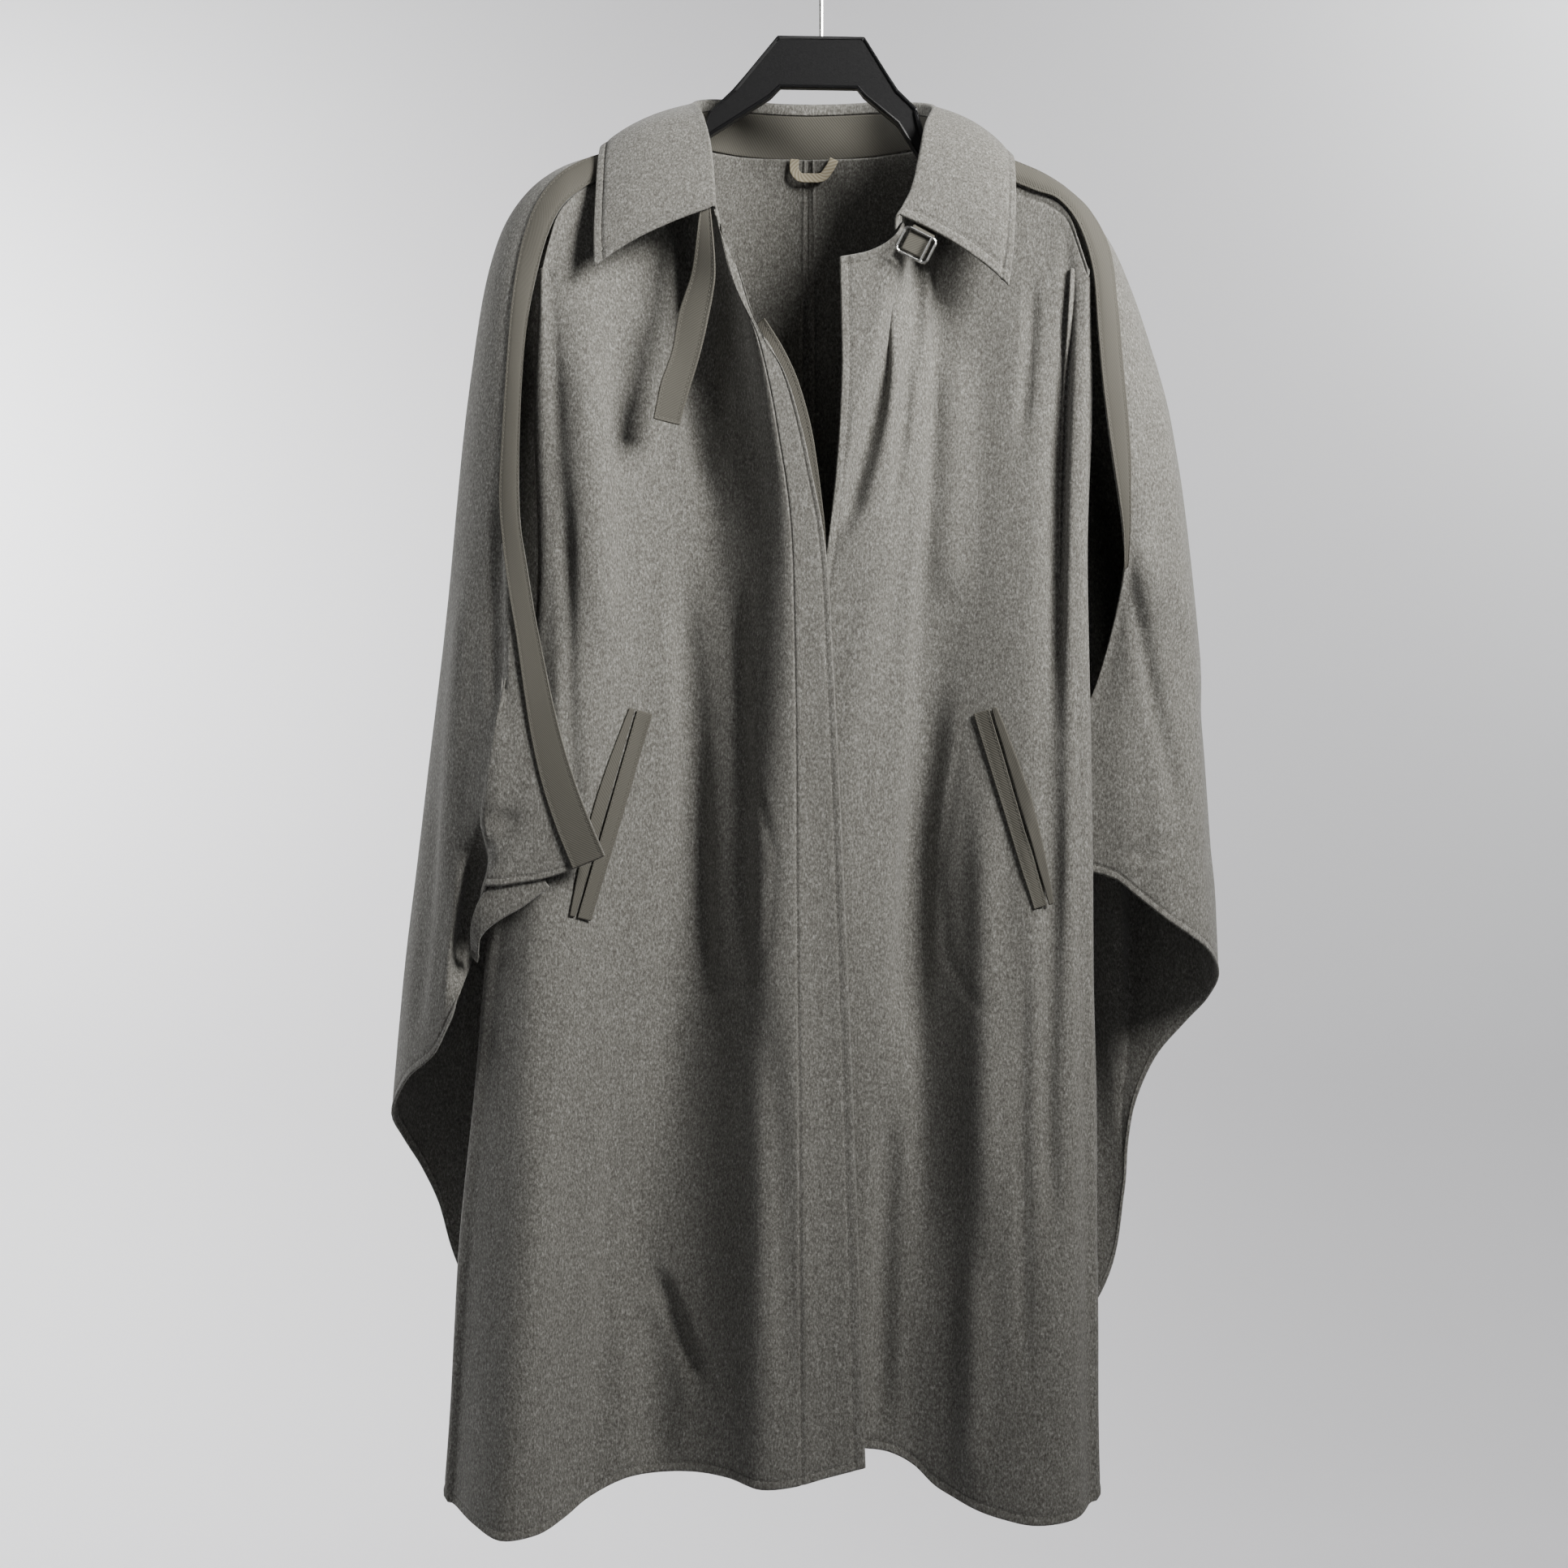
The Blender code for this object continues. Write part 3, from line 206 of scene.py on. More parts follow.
def sides(mesh, wall, sharp):
    """The sides of a wall: sets of faces that no sharp edge of its narrow rim divides."""
    narrow = {edge for edge in mesh.edges if edge.calc_length() < NARROW * wall}
    thin = {face for face in mesh.faces if any(edge in narrow for edge in face.edges)}
    seen, found = set(), []
    for first in mesh.faces:
        if first in seen:
            continue
        seen.add(first)
        group, queue = set(), [first]
        while queue:
            face = queue.pop()
            group.add(face)
            for edge in face.edges:
                beside = edge.link_faces
                if edge.calc_face_angle(0.0) > sharp and any(other in thin for other in beside):
                    continue
                for other in beside:
                    if other not in seen:
                        seen.add(other)
                        queue.append(other)
        found.append(group)
    found.sort(key=lambda group: sum(face.calc_area() for face in group), reverse=True)
    pair = found[:2]
    for group in pair:
        take_in(group, [face for face in mesh.faces if not any(face in side for side in pair)])
    return pair


def take_in(group, loose):
    """Adds each loose face that has two of its three edges on the side."""
    grown = True
    while grown:
        grown = False
        for face in loose:
            if face not in group:
                beside = sum(any(other in group for other in edge.link_faces) for edge in face.edges)
                if beside > 1:
                    group.add(face)
                    grown = True


def rim_of(group):
    """The points round a side's rim, in order."""
    after = {}
    for face in group:
        for loop in face.loops:
            if sum(other in group for other in loop.edge.link_faces) == 1:
                after[loop.vert] = loop.link_loop_next.vert
    if not after:
        return []
    start = next(iter(after))
    line = [start]
    while after[line[-1]] is not start and len(line) < len(after):
        line.append(after[line[-1]])
    return line


def opposite(group, used, first, second):
    """The unused face on an edge, and its third point."""
    for edge in first.link_edges:
        if edge.other_vert(first) is second:
            for face in edge.link_faces:
                if face in group and face not in used:
                    return face, next(v for v in face.verts if v not in (first, second))
    return None, None


def rows_from(group, rim, start, turn, rows, columns):
    """Reads the side as rows of points from one corner of its rim, or gives None."""
    count = len(rim)
    line = [rim[(start + turn * k) % count] for k in range(columns)]
    first = [rim[(start - turn * k) % count] for k in range(rows)]
    last = [rim[(start + turn * (columns - 1 + k)) % count] for k in range(rows)]
    used, grid = set(), [line]
    for row in range(1, rows):
        below = [first[row]]
        for left, right in zip(line, line[1:]):
            face, corner = opposite(group, used, left, right)
            if face is None:
                return None
            used.add(face)
            if corner is below[-1]:
                face, corner = opposite(group, used, right, corner)
            else:
                face, found = opposite(group, used, left, corner)
                if found is not below[-1]:
                    return None
            if face is None:
                return None
            used.add(face)
            below.append(corner)
        if below[-1] is not last[row]:
            return None
        grid.append(below)
        line = below
    return grid if len(used) == len(group) else None


def outward_of(points, panel):
    if panel.outward is None:
        return np.array((*BODY_MIDDLE, 0.0)) - points * (1, 1, 0)
    if panel.rows == panel.columns:
        return (points - (WING_MIDDLE * panel.outward[0], 0.0, 0.0)) * (1, 1, 0)
    return np.broadcast_to(np.array(panel.outward, float), points.shape)


def facing_out(group, panel):
    """How much of a side faces the way the table gives: above 0 on the outer side."""
    centres = np.array([tuple(face.calc_center_median()) for face in group])
    normals = np.array([tuple(face.normal * face.calc_area()) for face in group])
    return (outward_of(centres, panel) * normals).sum()


def completed(group, pair, wanted):
    """The side where it is whole, or with each corner face that could be the one it lacks."""
    if len(group) == wanted:
        yield group
    if len(group) == wanted - 1:
        known = {vert for side in pair for face in side for vert in face.verts}
        beside = {other for face in group for edge in face.edges for other in edge.link_faces}
        for face in beside - group:
            if any(vert not in known for vert in face.verts):
                yield group | {face}


def side_points(group, panel):
    """A side's points as rows and columns, or None where it isn't a whole grid."""
    rim = rim_of(group)
    if len(rim) != 2 * (panel.rows + panel.columns) - 4:
        return None
    for start in range(len(rim)):
        for turn in (1, -1):
            found = rows_from(group, rim, start, turn, panel.rows, panel.columns)
            if found:
                return set_way(np.array([[tuple(v.co) for v in row] for row in found]), panel)
    return None


def read_grid(node, panel):
    """The outer side of a packed wall as an array of rows and columns of points."""
    mesh = packed(node)
    wanted = 2 * (panel.rows - 1) * (panel.columns - 1)
    inner = None
    for sharp in SHARP:
        pair = sides(mesh, panel.wall, math.radians(sharp))
        for group in [whole for side in pair for whole in completed(side, pair, wanted)]:
            points = side_points(group, panel)
            if points is None:
                continue
            if facing_out(group, panel) > 0:
                mesh.free()
                return points
            inner = points
    mesh.free()
    if inner is None:
        raise ValueError("no grid in " + node)
    return inner + normals_of(inner, outward_of(inner, panel)) * panel.wall


def set_way(points, panel):
    """Turns the grid so that its rows and columns run the way the table says."""
    down, across = np.array(panel.down), np.array(panel.across)
    if panel.rows == panel.columns:
        drop = np.abs((points[-1] - points[0]) @ down).mean()
        if np.abs((points[:, -1] - points[:, 0]) @ down).mean() > drop:
            points = points.transpose(1, 0, 2)
    if ((points[-1] - points[0]) @ down).mean() < 0:
        points = points[::-1]
    if ((points[:, -1] - points[:, 0]) @ across).mean() < 0:
        points = points[:, ::-1]
    return points


def weights(count, at):
    """A matrix that runs a smooth line through points and reads it at fractional indices."""
    full = np.zeros((len(at), count + 2))
    spot = np.clip(np.floor(at).astype(int), 0, count - 2)
    t = at - spot
    rows = np.arange(len(at))
    full[rows, spot] += -0.5 * t + t ** 2 - 0.5 * t ** 3
    full[rows, spot + 1] += 1.0 - 2.5 * t ** 2 + 1.5 * t ** 3
    full[rows, spot + 2] += 0.5 * t + 2.0 * t ** 2 - 1.5 * t ** 3
    full[rows, spot + 3] += -0.5 * t ** 2 + 0.5 * t ** 3
    inner = full[:, 1:-1].copy()
    inner[:, 0] += 2.0 * full[:, 0]
    inner[:, 1] -= full[:, 0]
    inner[:, -1] += 2.0 * full[:, -1]
    inner[:, -2] -= full[:, -1]
    return inner


def spread(points, step, insets=()):
    """Fractional row indices: close together by both edges and by each inset stitch line."""
    lengths = np.linalg.norm(np.diff(points, axis=0), axis=2).mean(axis=1)
    arcs = np.concatenate(([0.0], np.cumsum(lengths)))
    total = arcs[-1]
    edge = np.array([value for value in EDGE_STEPS if value < EDGE_SHARE * total])
    middle_from, middle_to = edge[-1], total - edge[-1]
    count = max(2, int(round((middle_to - middle_from) / step)))
    places = np.concatenate((edge[:-1], np.linspace(middle_from, middle_to, count + 1),
                             (total - edge[:-1])[::-1]))
    for inset in insets:
        line = total - inset
        places = places[np.abs(places - line) > SEAM_STEPS[-1] + SEAM_ROOM]
        places = np.sort(np.concatenate((places, line + np.array(SEAM_STEPS))))
    return np.interp(places, arcs, np.arange(len(arcs))), places


def ramp(value, low, high):
    share = np.clip((np.asarray(value, float) - low) / (high - low), 0.0, 1.0)
    return share * share * (3.0 - 2.0 * share)


def normals_of(points, reference):
    normals = np.cross(np.gradient(points, axis=0), np.gradient(points, axis=1))
    normals /= np.maximum(np.linalg.norm(normals, axis=2, keepdims=True), 1e-12)
    return normals if (normals * reference).sum() > 0 else -normals


def crease_depth(points, creases):
    """How far each point is pushed in by the creases near it."""
    flat = points[..., [0, 2]]
    depth = np.zeros(points.shape[:2])
    for crease in creases:
        line = np.array(crease.points, float) / MILLIMETRES
        total = np.linalg.norm(np.diff(line, axis=0), axis=1)
        starts = np.concatenate(([0.0], np.cumsum(total)))
        nearest = np.full(depth.shape, OUT_OF_REACH)
        along = np.zeros(depth.shape)
        for a, b, length, begin in zip(line, line[1:], total, starts):
            share = np.clip(((flat - a) @ (b - a)) / length ** 2, 0.0, 1.0)
            gap = np.linalg.norm(flat - a - share[..., None] * (b - a), axis=-1)
            closer = gap < nearest
            nearest = np.where(closer, gap, nearest)
            along = np.where(closer, (begin + share * length) / starts[-1], along)
        half = crease.half / MILLIMETRES
        shape = np.where(nearest < half, np.cos(nearest / half * math.pi / 2) ** 2, 0.0)
        ends = ramp(along, 0.0, CREASE_END) * (1.0 - ramp(along, 1.0 - CREASE_END, 1.0))
        kept = CREASE_KEPT + (1.0 - CREASE_KEPT) * ends
        depth += crease.depth / MILLIMETRES * shape * kept
    return depth


def shell(name, outer, normals, wall, places):
    """A closed wall: its outer side, its inner side and a rounded rim between them."""
    rows, columns = outer.shape[:2]
    inner = outer - normals * wall
    index = np.arange(rows * columns).reshape(rows, columns)
    quads = np.stack((index[:-1, :-1], index[:-1, 1:], index[1:, 1:], index[1:, :-1]), axis=-1)
    quads = quads.reshape(-1, 4)
    a, b, c = outer[0, 0], outer[0, 1], outer[1, 1]
    if np.dot(np.cross(b - a, c - b), normals[0, 0]) < 0:
        quads = quads[:, ::-1]
    back = quads[:, ::-1] + rows * columns
    loop = np.concatenate((index[0, :-1], index[:-1, -1], index[-1, :0:-1], index[:0:-1, 0]))
    flat_outer, flat_inner = outer.reshape(-1, 3), inner.reshape(-1, 3)
    toward = np.zeros_like(flat_outer).reshape(rows, columns, 3)
    toward[0] += outer[0] - outer[1]
    toward[-1] += outer[-1] - outer[-2]
    toward[:, 0] += outer[:, 0] - outer[:, 1]
    toward[:, -1] += outer[:, -1] - outer[:, -2]
    toward /= np.maximum(np.linalg.norm(toward, axis=2, keepdims=True), 1e-9)
    bulge = (flat_outer[loop] + flat_inner[loop]) / 2
    bulge = bulge + toward.reshape(-1, 3)[loop] * wall * RIM_BULGE
    base = 2 * rows * columns
    around = np.arange(len(loop))
    after = np.roll(around, -1)
    strip_one = np.stack((loop, base + around, base + after, loop[after]), axis=-1)
    strip_two = np.stack((base + around, loop + rows * columns, loop[after] + rows * columns,
                          base + after), axis=-1)
    faces = [tuple(int(v) for v in quad) for quad in (*quads, *back, *strip_one, *strip_two)]
    mesh = bpy.data.meshes.new(name)
    mesh.from_pydata(np.concatenate((flat_outer, flat_inner, bulge)).tolist(), [], faces)
    repair = bmesh.new()
    repair.from_mesh(mesh)
    bmesh.ops.recalc_face_normals(repair, faces=repair.faces)
    repair.to_mesh(mesh)
    repair.free()
    down, across = places
    layer = mesh.uv_layers.new(name="weave")
    spot_v, spot_u = np.meshgrid(down, across, indexing="ij")
    flat_uv = np.stack((spot_u.ravel(), spot_v.ravel()), axis=1)
    whole = np.concatenate((flat_uv, flat_uv, flat_uv[loop]))
    corners = np.empty(len(mesh.loops), int)
    mesh.loops.foreach_get("vertex_index", corners)
    layer.data.foreach_set("uv", whole[corners].astype(np.float32).ravel())
    mesh.shade_smooth()
    return mesh


def undulation(points, size, amount, offset):
    """Slow uneven waves, as of hanging cloth."""
    flat = points.reshape(-1, 3)
    values = [noise.noise(Vector((x / size + offset, y / size, z / (WAVE_STRETCH * size))))
              for x, y, z in flat]
    return np.array(values).reshape(points.shape[:2]) * amount


def from_edge(edge, places):
    """How far each point of a grid lies from one of its edges, measured along the cloth."""
    down, across = np.meshgrid(*places, indexing="ij")
    return {"top": down, "bottom": down[-1:] - down,
            "first": across, "last": across[:, -1:] - across}[edge]


def stitched(depth, places, seams):
    """Adds the groove that each row of stitches pulls into the cloth."""
    for seam in seams:
        far = from_edge(seam.edge, places)
        depth = depth + seam.pull * np.exp(-((far - seam.inset) / SEAM_HALF) ** 2)
        if seam.inset <= COLLAR_STITCH:
            depth = depth - EDGE_PLUMP * (1.0 - ramp(far, 0.0, seam.inset * PLUMP_REACH))
    return depth


def thread_rows(node, outer, normals, places, seams):
    """The threads of each row of stitches, as short beads half sunk in the cloth."""
    points, faces = [], []
    for seam in seams:
        lines = [outer, normals]
        down, across = places
        if seam.edge in ("top", "bottom"):
            at = seam.inset if seam.edge == "top" else down[-1] - seam.inset
            lines = [lerp_rows(grid, down, at) for grid in lines]
        else:
            at = seam.inset if seam.edge == "first" else across[-1] - seam.inset
            lines = [lerp_rows(grid.transpose(1, 0, 2), across, at) for grid in lines]
        line, up = lines
        reach = np.concatenate(([0.0], np.cumsum(np.linalg.norm(np.diff(line, axis=0), axis=1))))
        begin = np.arange(seam.start, reach[-1] - seam.stop, STITCH_PITCH)
        for low in begin:
            ends = np.array([low, low + STITCH_LONG])
            spot = np.stack([np.interp(ends, reach, line[:, k]) for k in range(3)], axis=1)
            lift = np.array([np.interp(low, reach, up[:, k]) for k in range(3)])
            lift /= max(np.linalg.norm(lift), 1e-9)
            bead(points, faces, spot, lift)
    if not faces:
        return
    mesh = bpy.data.meshes.new(node + "_thread")
    mesh.from_pydata(points, [], faces)
    mesh.shade_smooth()
    made = bpy.data.objects.new(node + "_thread", mesh)
    bpy.context.scene.collection.objects.link(made)
    mesh.materials.append(THREADS[PANELS[node].slot])
    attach(made, "root")


def lerp_rows(grid, places, at):
    """The row of a grid at a given place, between the rows beside it."""
    spot = int(np.clip(np.searchsorted(places, at) - 1, 0, len(places) - 2))
    share = (at - places[spot]) / (places[spot + 1] - places[spot])
    return grid[spot] * (1.0 - share) + grid[spot + 1] * share


def bead(points, faces, ends, lift):
    """One stitch: a five-sided thread with pointed ends that dip into the cloth."""
    along = ends[1] - ends[0]
    along = along / max(np.linalg.norm(along), 1e-9)
    aside = np.cross(along, lift)
    first = len(points)
    points.append(tuple(ends[0] - lift * THREAD))
    for end, inward in ((ends[0], 1.0), (ends[1], -1.0)):
        middle = end + along * inward * THREAD * BEAD_POINT + lift * THREAD * BEAD_RISE
        for step in range(BEAD_SIDES):
            angle = 2.0 * math.pi * step / BEAD_SIDES
            points.append(tuple(middle + (aside * math.cos(angle) + lift * math.sin(angle)) * THREAD))
    points.append(tuple(ends[1] - lift * THREAD))
    for step in range(BEAD_SIDES):
        after = (step + 1) % BEAD_SIDES
        a, b = first + 1 + step, first + 1 + after
        c, d = a + BEAD_SIDES, b + BEAD_SIDES
        faces.append((first, a, b))
        faces.append((a, c, d, b))
        faces.append((c, first + 1 + 2 * BEAD_SIDES, d))


def cloth(node):
    """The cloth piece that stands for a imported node, with its folds, creases and stitching."""
    panel = PANELS[node]
    grid = read_grid(node, panel)
    seams = STITCHED.get(node, ())
    inset = {way: [seam.inset for seam in seams if seam.edge == way and seam.inset > EDGE_STEPS[-1]]
             for way in ("bottom", "last")}
    at_rows, down = spread(grid, panel.step, inset["bottom"])
    at_columns, across = spread(grid.transpose(1, 0, 2), panel.step, inset["last"])
    smooth = np.einsum("ri,ijk->rjk", weights(panel.rows, at_rows), grid)
    smooth = np.einsum("cj,rjk->rck", weights(panel.columns, at_columns), smooth)
    normals = normals_of(smooth, outward_of(smooth, panel))
    depth = crease_depth(smooth, CREASES.get(node, ()))
    if node in WAVES:
        size, amount = WAVES[node]
        depth += undulation(smooth, size, amount, len(node))
    depth = stitched(depth, (down, across), seams)
    outer = smooth - normals * depth[..., None]
    made = bpy.data.objects.new(node + "_cloth",
                                shell(node, outer, normals, panel.wall, (down, across)))
    bpy.context.scene.collection.objects.link(made)
    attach(made, "root")
    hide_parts(node)
    made.data.materials.append(MATERIALS[panel.slot])
    thread_rows(node, outer, normals, (down, across), seams)


WAVES = {
    "front_right": (0.055, 0.0016), "front_left": (0.055, 0.0016),
    "back_right": (0.07, 0.0022), "back_left": (0.07, 0.0022),
    "wing_right": (0.06, 0.0018), "wing_left": (0.06, 0.0018),
    "collar_fall": (0.03, 0.0007), "collar_strap": (0.02, 0.0006), "band_left": (0.012, 0.0003),
    "band_right": (0.02, 0.0003),
}
STITCHED = {
    "front_right": (Seam("last", STITCH_IN), Seam("last", PLACKET, 0.0009, 0.07),
                    Seam("bottom", STITCH_IN)),
    "front_left": (Seam("last", STITCH_IN), Seam("bottom", STITCH_IN),
                   Seam("top", STITCH_IN, 0.0006, 0.24)),
    "wing_right": (Seam("bottom", STITCH_IN),),
    "wing_left": (Seam("bottom", STITCH_IN),),
    "collar_fall": (Seam("last", COLLAR_STITCH, 0.0013), Seam("top", COLLAR_STITCH, 0.0011, 0.03),
                    Seam("bottom", COLLAR_STITCH, 0.0011, 0.03)),
    "back_right": (Seam("bottom", STITCH_IN), Seam("last", STITCH_IN, 0.0013)),
    "back_left": (Seam("bottom", STITCH_IN), Seam("last", STITCH_IN, 0.0013)),
    "collar_strap": (Seam("first", BAND_STITCH, 0.0002), Seam("last", BAND_STITCH, 0.0002),
                     Seam("bottom", BAND_STITCH, 0.0002, 0.002, 0.002)),
    "underarm_right": (Seam("bottom", STITCH_IN),),
    "band_right": (Seam("first", BAND_STITCH, 0.0002), Seam("last", BAND_STITCH, 0.0002)),
    "band_left": (Seam("first", BAND_STITCH, 0.0002), Seam("last", BAND_STITCH, 0.0002)),
    "pocket_welt_right": (Seam("first", POCKET_STITCH, 0.0001), Seam("last", BAND_STITCH, 0.0002)),
    "pocket_welt_left": (Seam("first", POCKET_STITCH, 0.0001), Seam("last", BAND_STITCH, 0.0002)),
    "facing_right": (Seam("last", POCKET_STITCH, 0.0001),),
}


# Materials

def start_material(name, colour, roughness):
    made = bpy.data.materials.new(name)
    made.use_nodes = True
    shader = made.node_tree.nodes["Principled BSDF"]
    shader.inputs["Base Color"].default_value = (*colour, 1.0)
    shader.inputs["Roughness"].default_value = roughness
    return made, made.node_tree.nodes, made.node_tree.links, shader


def fleck(nodes, links, source, scale, detail, stretch):
    """Noise of the given scale, drawn out along Z by the stretch."""
    mapping = nodes.new("ShaderNodeMapping")
    mapping.inputs["Scale"].default_value = (scale, scale, scale / stretch)
    links.new(source, mapping.inputs["Vector"])
    grain = nodes.new("ShaderNodeTexNoise")
    grain.inputs["Scale"].default_value = 1.0
    grain.inputs["Detail"].default_value = detail
    grain.inputs["Roughness"].default_value = 0.6
    links.new(mapping.outputs["Vector"], grain.inputs["Vector"])
    return grain.outputs["Fac"]


def ramp_node(nodes, links, value, stops):
    node = nodes.new("ShaderNodeValToRGB")
    elements = node.color_ramp.elements
    elements[0].position, elements[0].color = stops[0][0], (*stops[0][1], 1.0)
    elements[1].position, elements[1].color = stops[-1][0], (*stops[-1][1], 1.0)
    for position, colour in stops[1:-1]:
        elements.new(position).color = (*colour, 1.0)
    links.new(value, node.inputs["Fac"])
    return node.outputs["Color"]


def wool_material():
    made, nodes, links, shader = start_material("wool_melange", (0.17, 0.165, 0.148), 0.95)
    place = nodes.new("ShaderNodeTexCoord").outputs["Object"]
    fine = fleck(nodes, links, place, 820.0, 5.0, 1.9)
    broad = fleck(nodes, links, place, 260.0, 4.0, 1.6)
    colour = ramp_node(nodes, links, fine, ((0.30, (0.072, 0.068, 0.060)),
                                            (0.45, (0.132, 0.128, 0.115)),
                                            (0.57, (0.196, 0.193, 0.176)),
                                            (0.72, (0.350, 0.348, 0.325))))
    tone = ramp_node(nodes, links, broad, ((0.32, (0.88, 0.87, 0.86)), (0.68, (1.08, 1.08, 1.08))))
    mix = nodes.new("ShaderNodeMix")
    mix.data_type, mix.blend_type = "RGBA", "MULTIPLY"
    mix.inputs[0].default_value = 1.0
    links.new(colour, mix.inputs[6])
    links.new(tone, mix.inputs[7])
    links.new(mix.outputs[2], shader.inputs["Base Color"])
    shader.inputs["Sheen Weight"].default_value = 0.12
    shader.inputs["Sheen Roughness"].default_value = 0.6
    shader.inputs["Specular IOR Level"].default_value = 0.15
    bump = nodes.new("ShaderNodeBump")
    bump.inputs["Strength"].default_value = 0.25
    bump.inputs["Distance"].default_value = 0.0009
    links.new(fine, bump.inputs["Height"])
    links.new(bump.outputs["Normal"], shader.inputs["Normal"])
    return made


def twill_material(name, dark, light, pitch):
    made, nodes, links, shader = start_material(name, dark, 0.8)
    weave = nodes.new("ShaderNodeUVMap")
    weave.uv_map = "weave"
    wave = nodes.new("ShaderNodeTexWave")
    wave.bands_direction = "DIAGONAL"
    wave.inputs["Scale"].default_value = 1.0 / pitch / 6.0
    wave.inputs["Distortion"].default_value = 0.6
    links.new(weave.outputs["UV"], wave.inputs["Vector"])
    colour = ramp_node(nodes, links, wave.outputs["Fac"], ((0.2, dark), (0.8, light)))
    links.new(colour, shader.inputs["Base Color"])
    shader.inputs["Specular IOR Level"].default_value = 0.25
    bump = nodes.new("ShaderNodeBump")
    bump.inputs["Strength"].default_value = 0.25
    bump.inputs["Distance"].default_value = 0.0005
    links.new(wave.outputs["Fac"], bump.inputs["Height"])
    links.new(bump.outputs["Normal"], shader.inputs["Normal"])
    return made


def hard_material(name, colour, roughness, metallic, grain, strength):
    made, nodes, links, shader = start_material(name, colour, roughness)
    shader.inputs["Metallic"].default_value = metallic
    place = nodes.new("ShaderNodeTexCoord").outputs["Object"]
    value = fleck(nodes, links, place, grain, 2.0, 1.0)
    rough = nodes.new("ShaderNodeMapRange")
    rough.inputs["To Min"].default_value = roughness * 0.8
    rough.inputs["To Max"].default_value = roughness * 1.25
    links.new(value, rough.inputs["Value"])
    links.new(rough.outputs["Result"], shader.inputs["Roughness"])
    bump = nodes.new("ShaderNodeBump")
    bump.inputs["Strength"].default_value = strength
    bump.inputs["Distance"].default_value = 0.0002
    links.new(value, bump.inputs["Height"])
    links.new(bump.outputs["Normal"], shader.inputs["Normal"])
    return made


MATERIALS = {
    "wool": wool_material(),
    "gabardine": twill_material("gabardine_twill", (0.084, 0.079, 0.066),
                                (0.104, 0.099, 0.083), 0.0006),
    "tape": twill_material("tape_weave", (0.33, 0.29, 0.20), (0.48, 0.43, 0.32), 0.0009),
    "plastic": hard_material("hanger_plastic", (0.006, 0.006, 0.0065), 0.36, 0.0, 900.0, 0.15),
    "steel": hard_material("bright_steel", (0.50, 0.50, 0.48), 0.26, 1.0, 300.0, 0.05),
}

THREADS = {
    "wool": hard_material("wool_thread", (0.105, 0.100, 0.088), 0.7, 0.0, 900.0, 0.1),
    "gabardine": hard_material("gabardine_thread", (0.115, 0.110, 0.090), 0.6, 0.0, 900.0, 0.1),
}


def hanger():
    """The moulded hanger: its front and back sink in between a raised rim."""
    mesh = bpy.data.meshes.new("hanger_moulded")
    merged = packed("hanger_body")
    merged.to_mesh(mesh)
    merged.free()
    made = bpy.data.objects.new("hanger_moulded", mesh)
    bpy.context.scene.collection.objects.link(made)
    bpy.ops.object.select_all(action="DESELECT")
    made.select_set(True)
    bpy.context.view_layer.objects.active = made
    bpy.ops.object.mode_set(mode="EDIT")
    bpy.ops.mesh.select_mode(type="FACE")
    bpy.ops.mesh.select_all(action="SELECT")
    bpy.ops.mesh.dissolve_limited(angle_limit=math.radians(HANGER_FLAT))
    for side in (-1.0, 1.0):
        bpy.ops.mesh.select_all(action="DESELECT")
        bpy.ops.object.mode_set(mode="OBJECT")
        for face in mesh.polygons:
            face.select = face.normal.y * side > HANGER_FACING
        bpy.ops.object.mode_set(mode="EDIT")
        bpy.ops.mesh.inset(thickness=HANGER_RIM, depth=0.0, use_even_offset=False)
        bpy.ops.mesh.inset(thickness=HANGER_SINK / 2, depth=-HANGER_SINK, use_even_offset=False)
    bpy.ops.object.mode_set(mode="OBJECT")
    bpy.ops.object.shade_smooth_by_angle(angle=math.radians(HANGER_SMOOTH))
    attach(made, "root")
    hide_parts("hanger_body")
    mesh.materials.append(MATERIALS["plastic"])


for node in PANELS:
    cloth(node)
hanger()
for node, slot in (("hanger_hook", "steel"), ("buckle_frame", "steel"), ("buckle_prong", "steel")):
    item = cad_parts[node]
    item.data.materials.clear()
    item.data.materials.append(MATERIALS[slot])


# Room, light and camera

BEND_STEPS = 12
ROOM_COLOUR = (0.84, 0.84, 0.86, 1.0)
ROOM_LIGHT = 0.075
VIEW_FAR = 2.4
VIEW_HALF = 0.599
VIEW_X = -0.0273
VIEW_Z = -0.6454


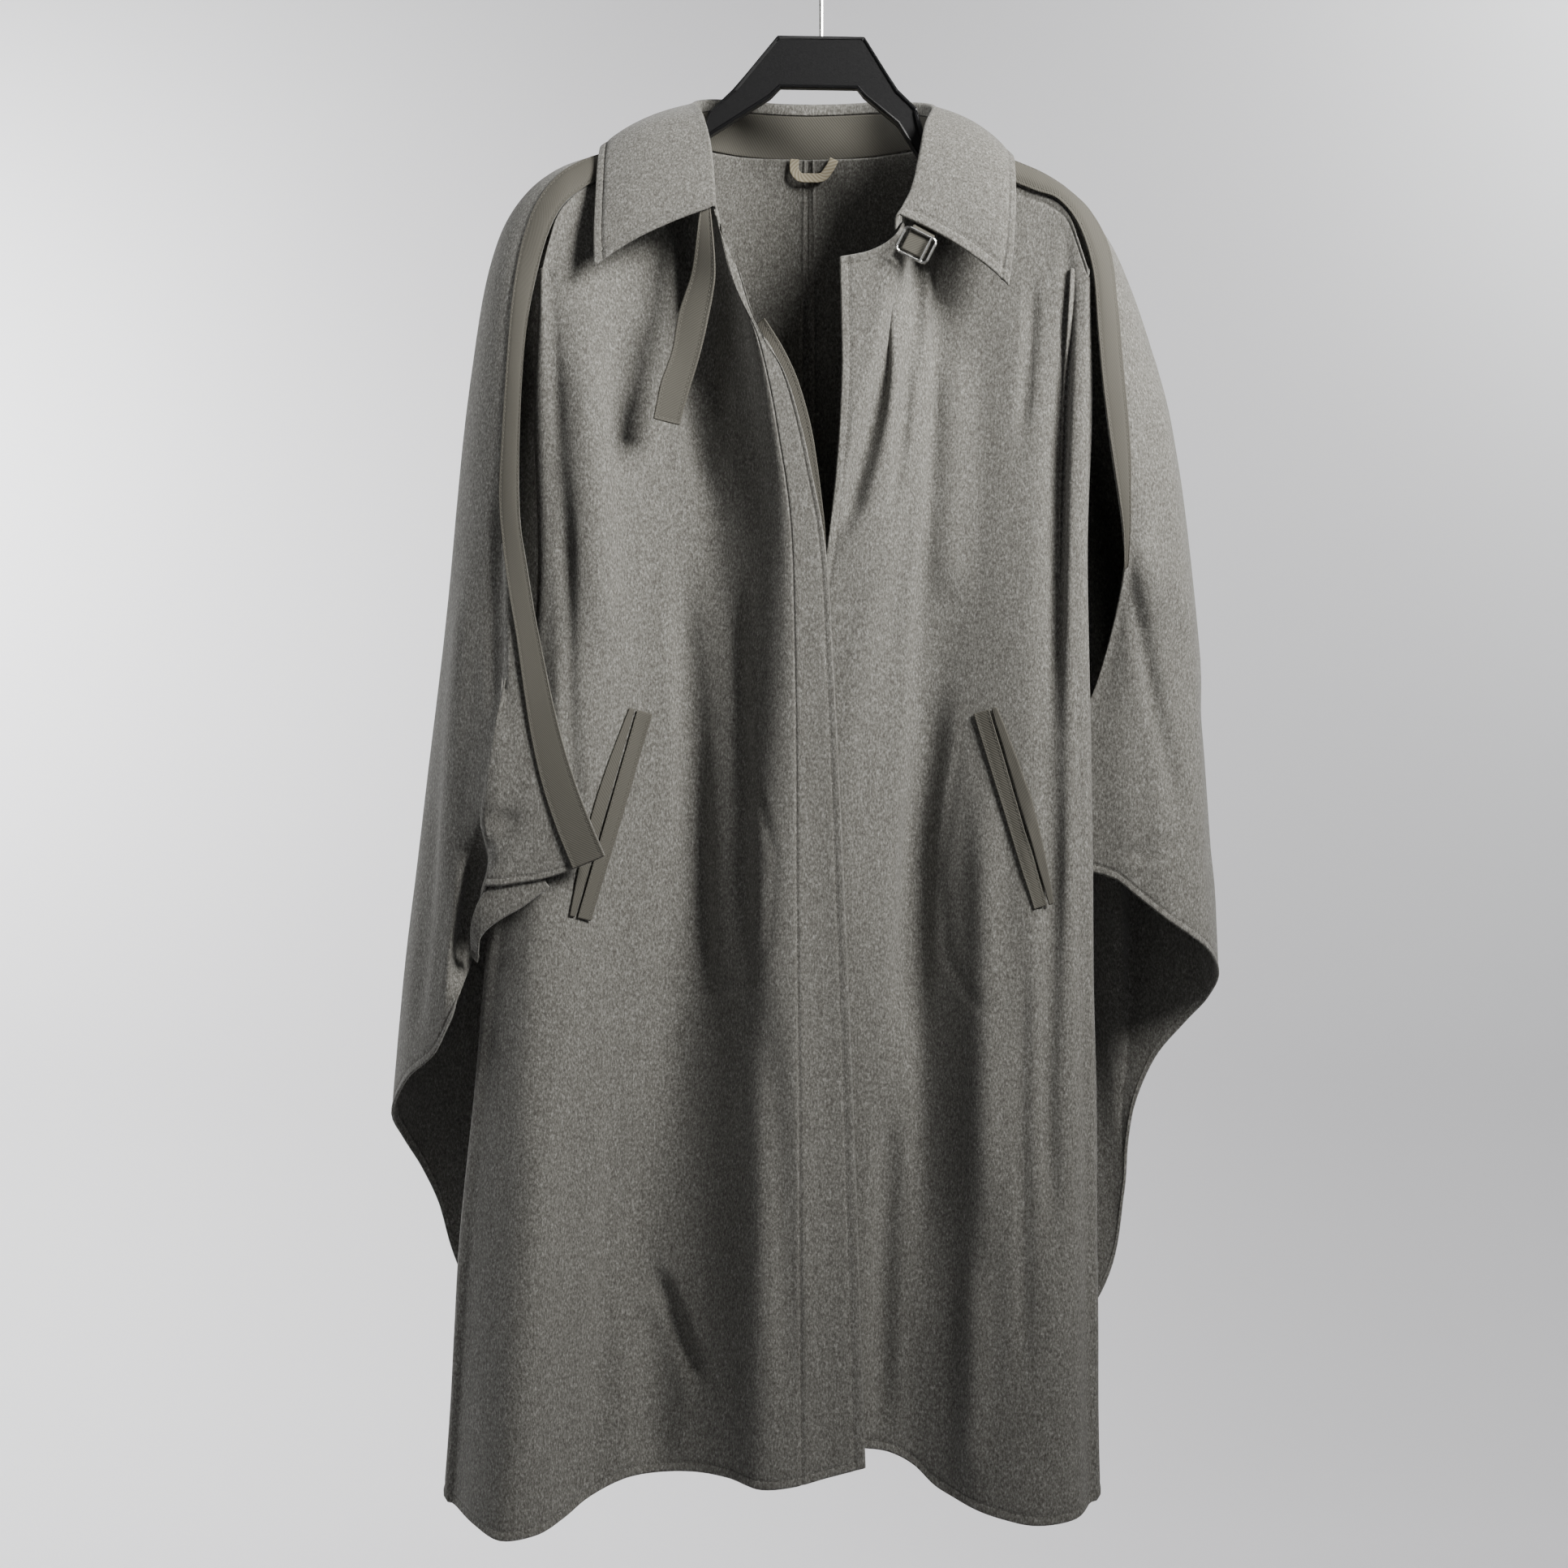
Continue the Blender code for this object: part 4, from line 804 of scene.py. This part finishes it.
def backdrop():
    """Pale paper that runs from the floor up the wall behind."""
    floor_z, wall_y, bend, near_y, top_z, side = -1.72, 2.7, 0.6, -4.2, 3.2, 5.0
    profile = [(near_y, floor_z)]
    for step in range(BEND_STEPS + 1):
        angle = math.pi / 2 * step / BEND_STEPS
        profile.append((wall_y - bend + bend * math.sin(angle), floor_z + bend * (1 - math.cos(angle))))
    profile.append((wall_y, top_z))
    points = [(x, y, z) for y, z in profile for x in (-side, side)]
    faces = [(2 * k, 2 * k + 1, 2 * k + 3, 2 * k + 2) for k in range(len(profile) - 1)]
    mesh = bpy.data.meshes.new("backdrop")
    mesh.from_pydata(points, [], faces)
    mesh.shade_smooth()
    made = bpy.data.objects.new("backdrop", mesh)
    bpy.context.scene.collection.objects.link(made)
    paper, nodes, links, shader = start_material("pale_paper", (0.80, 0.80, 0.81), 0.9)
    place = nodes.new("ShaderNodeTexCoord").outputs["Object"]
    value = fleck(nodes, links, place, 0.9, 1.0, 1.0)
    colour = ramp_node(nodes, links, value, ((0.35, (0.79, 0.78, 0.795)), (0.65, (0.82, 0.82, 0.83))))
    links.new(colour, shader.inputs["Base Color"])
    mesh.materials.append(paper)


def lamp(name, place, target, size, power, colour, spread=180.0):
    light = bpy.data.lights.new(name, "AREA")
    light.shape = "DISK"
    light.size = size
    light.energy = power
    light.color = colour
    light.spread = math.radians(spread)
    made = bpy.data.objects.new(name, light)
    made.location = place
    made.rotation_euler = (Vector(target) - Vector(place)).to_track_quat("-Z", "Y").to_euler()
    made.visible_camera = False
    bpy.context.scene.collection.objects.link(made)


backdrop()
lamp("key", (1.22, -1.02, 0.50), (0.12, 0.0, -0.12), 0.85, 16.0, (1.0, 0.99, 0.97), 70.0)
lamp("fill", (-1.1, -1.9, 0.9), (-0.05, 0.0, -0.20), 0.9, 3.0, (0.98, 0.98, 1.0))
lamp("side", (-1.75, 0.15, 0.35), (-0.3, 0.0, -0.5), 0.9, 22.0, (0.98, 0.99, 1.0))
lamp("wall_left", (-1.9, 1.7, -0.1), (-0.6, 2.7, -0.40), 1.1, 66.0, (0.99, 0.99, 1.0))
lamp("wall_right", (1.9, 1.7, 0.9), (0.9, 2.7, 0.2), 0.9, 42.0, (0.99, 1.0, 1.0))
room = bpy.data.worlds.new("room")
room.use_nodes = True
room.node_tree.nodes["Background"].inputs["Color"].default_value = ROOM_COLOUR
room.node_tree.nodes["Background"].inputs["Strength"].default_value = ROOM_LIGHT
bpy.context.scene.world = room

lens = bpy.data.cameras.new("camera")
lens.sensor_width = 36.0
lens.angle = 2.0 * math.atan(VIEW_HALF / VIEW_FAR)
lens.clip_start = 0.05
camera = bpy.data.objects.new("camera", lens)
camera.location = (VIEW_X, -VIEW_FAR, VIEW_Z)
camera.rotation_euler = (math.pi / 2, 0.0, 0.0)
bpy.context.scene.collection.objects.link(camera)
bpy.context.scene.camera = camera
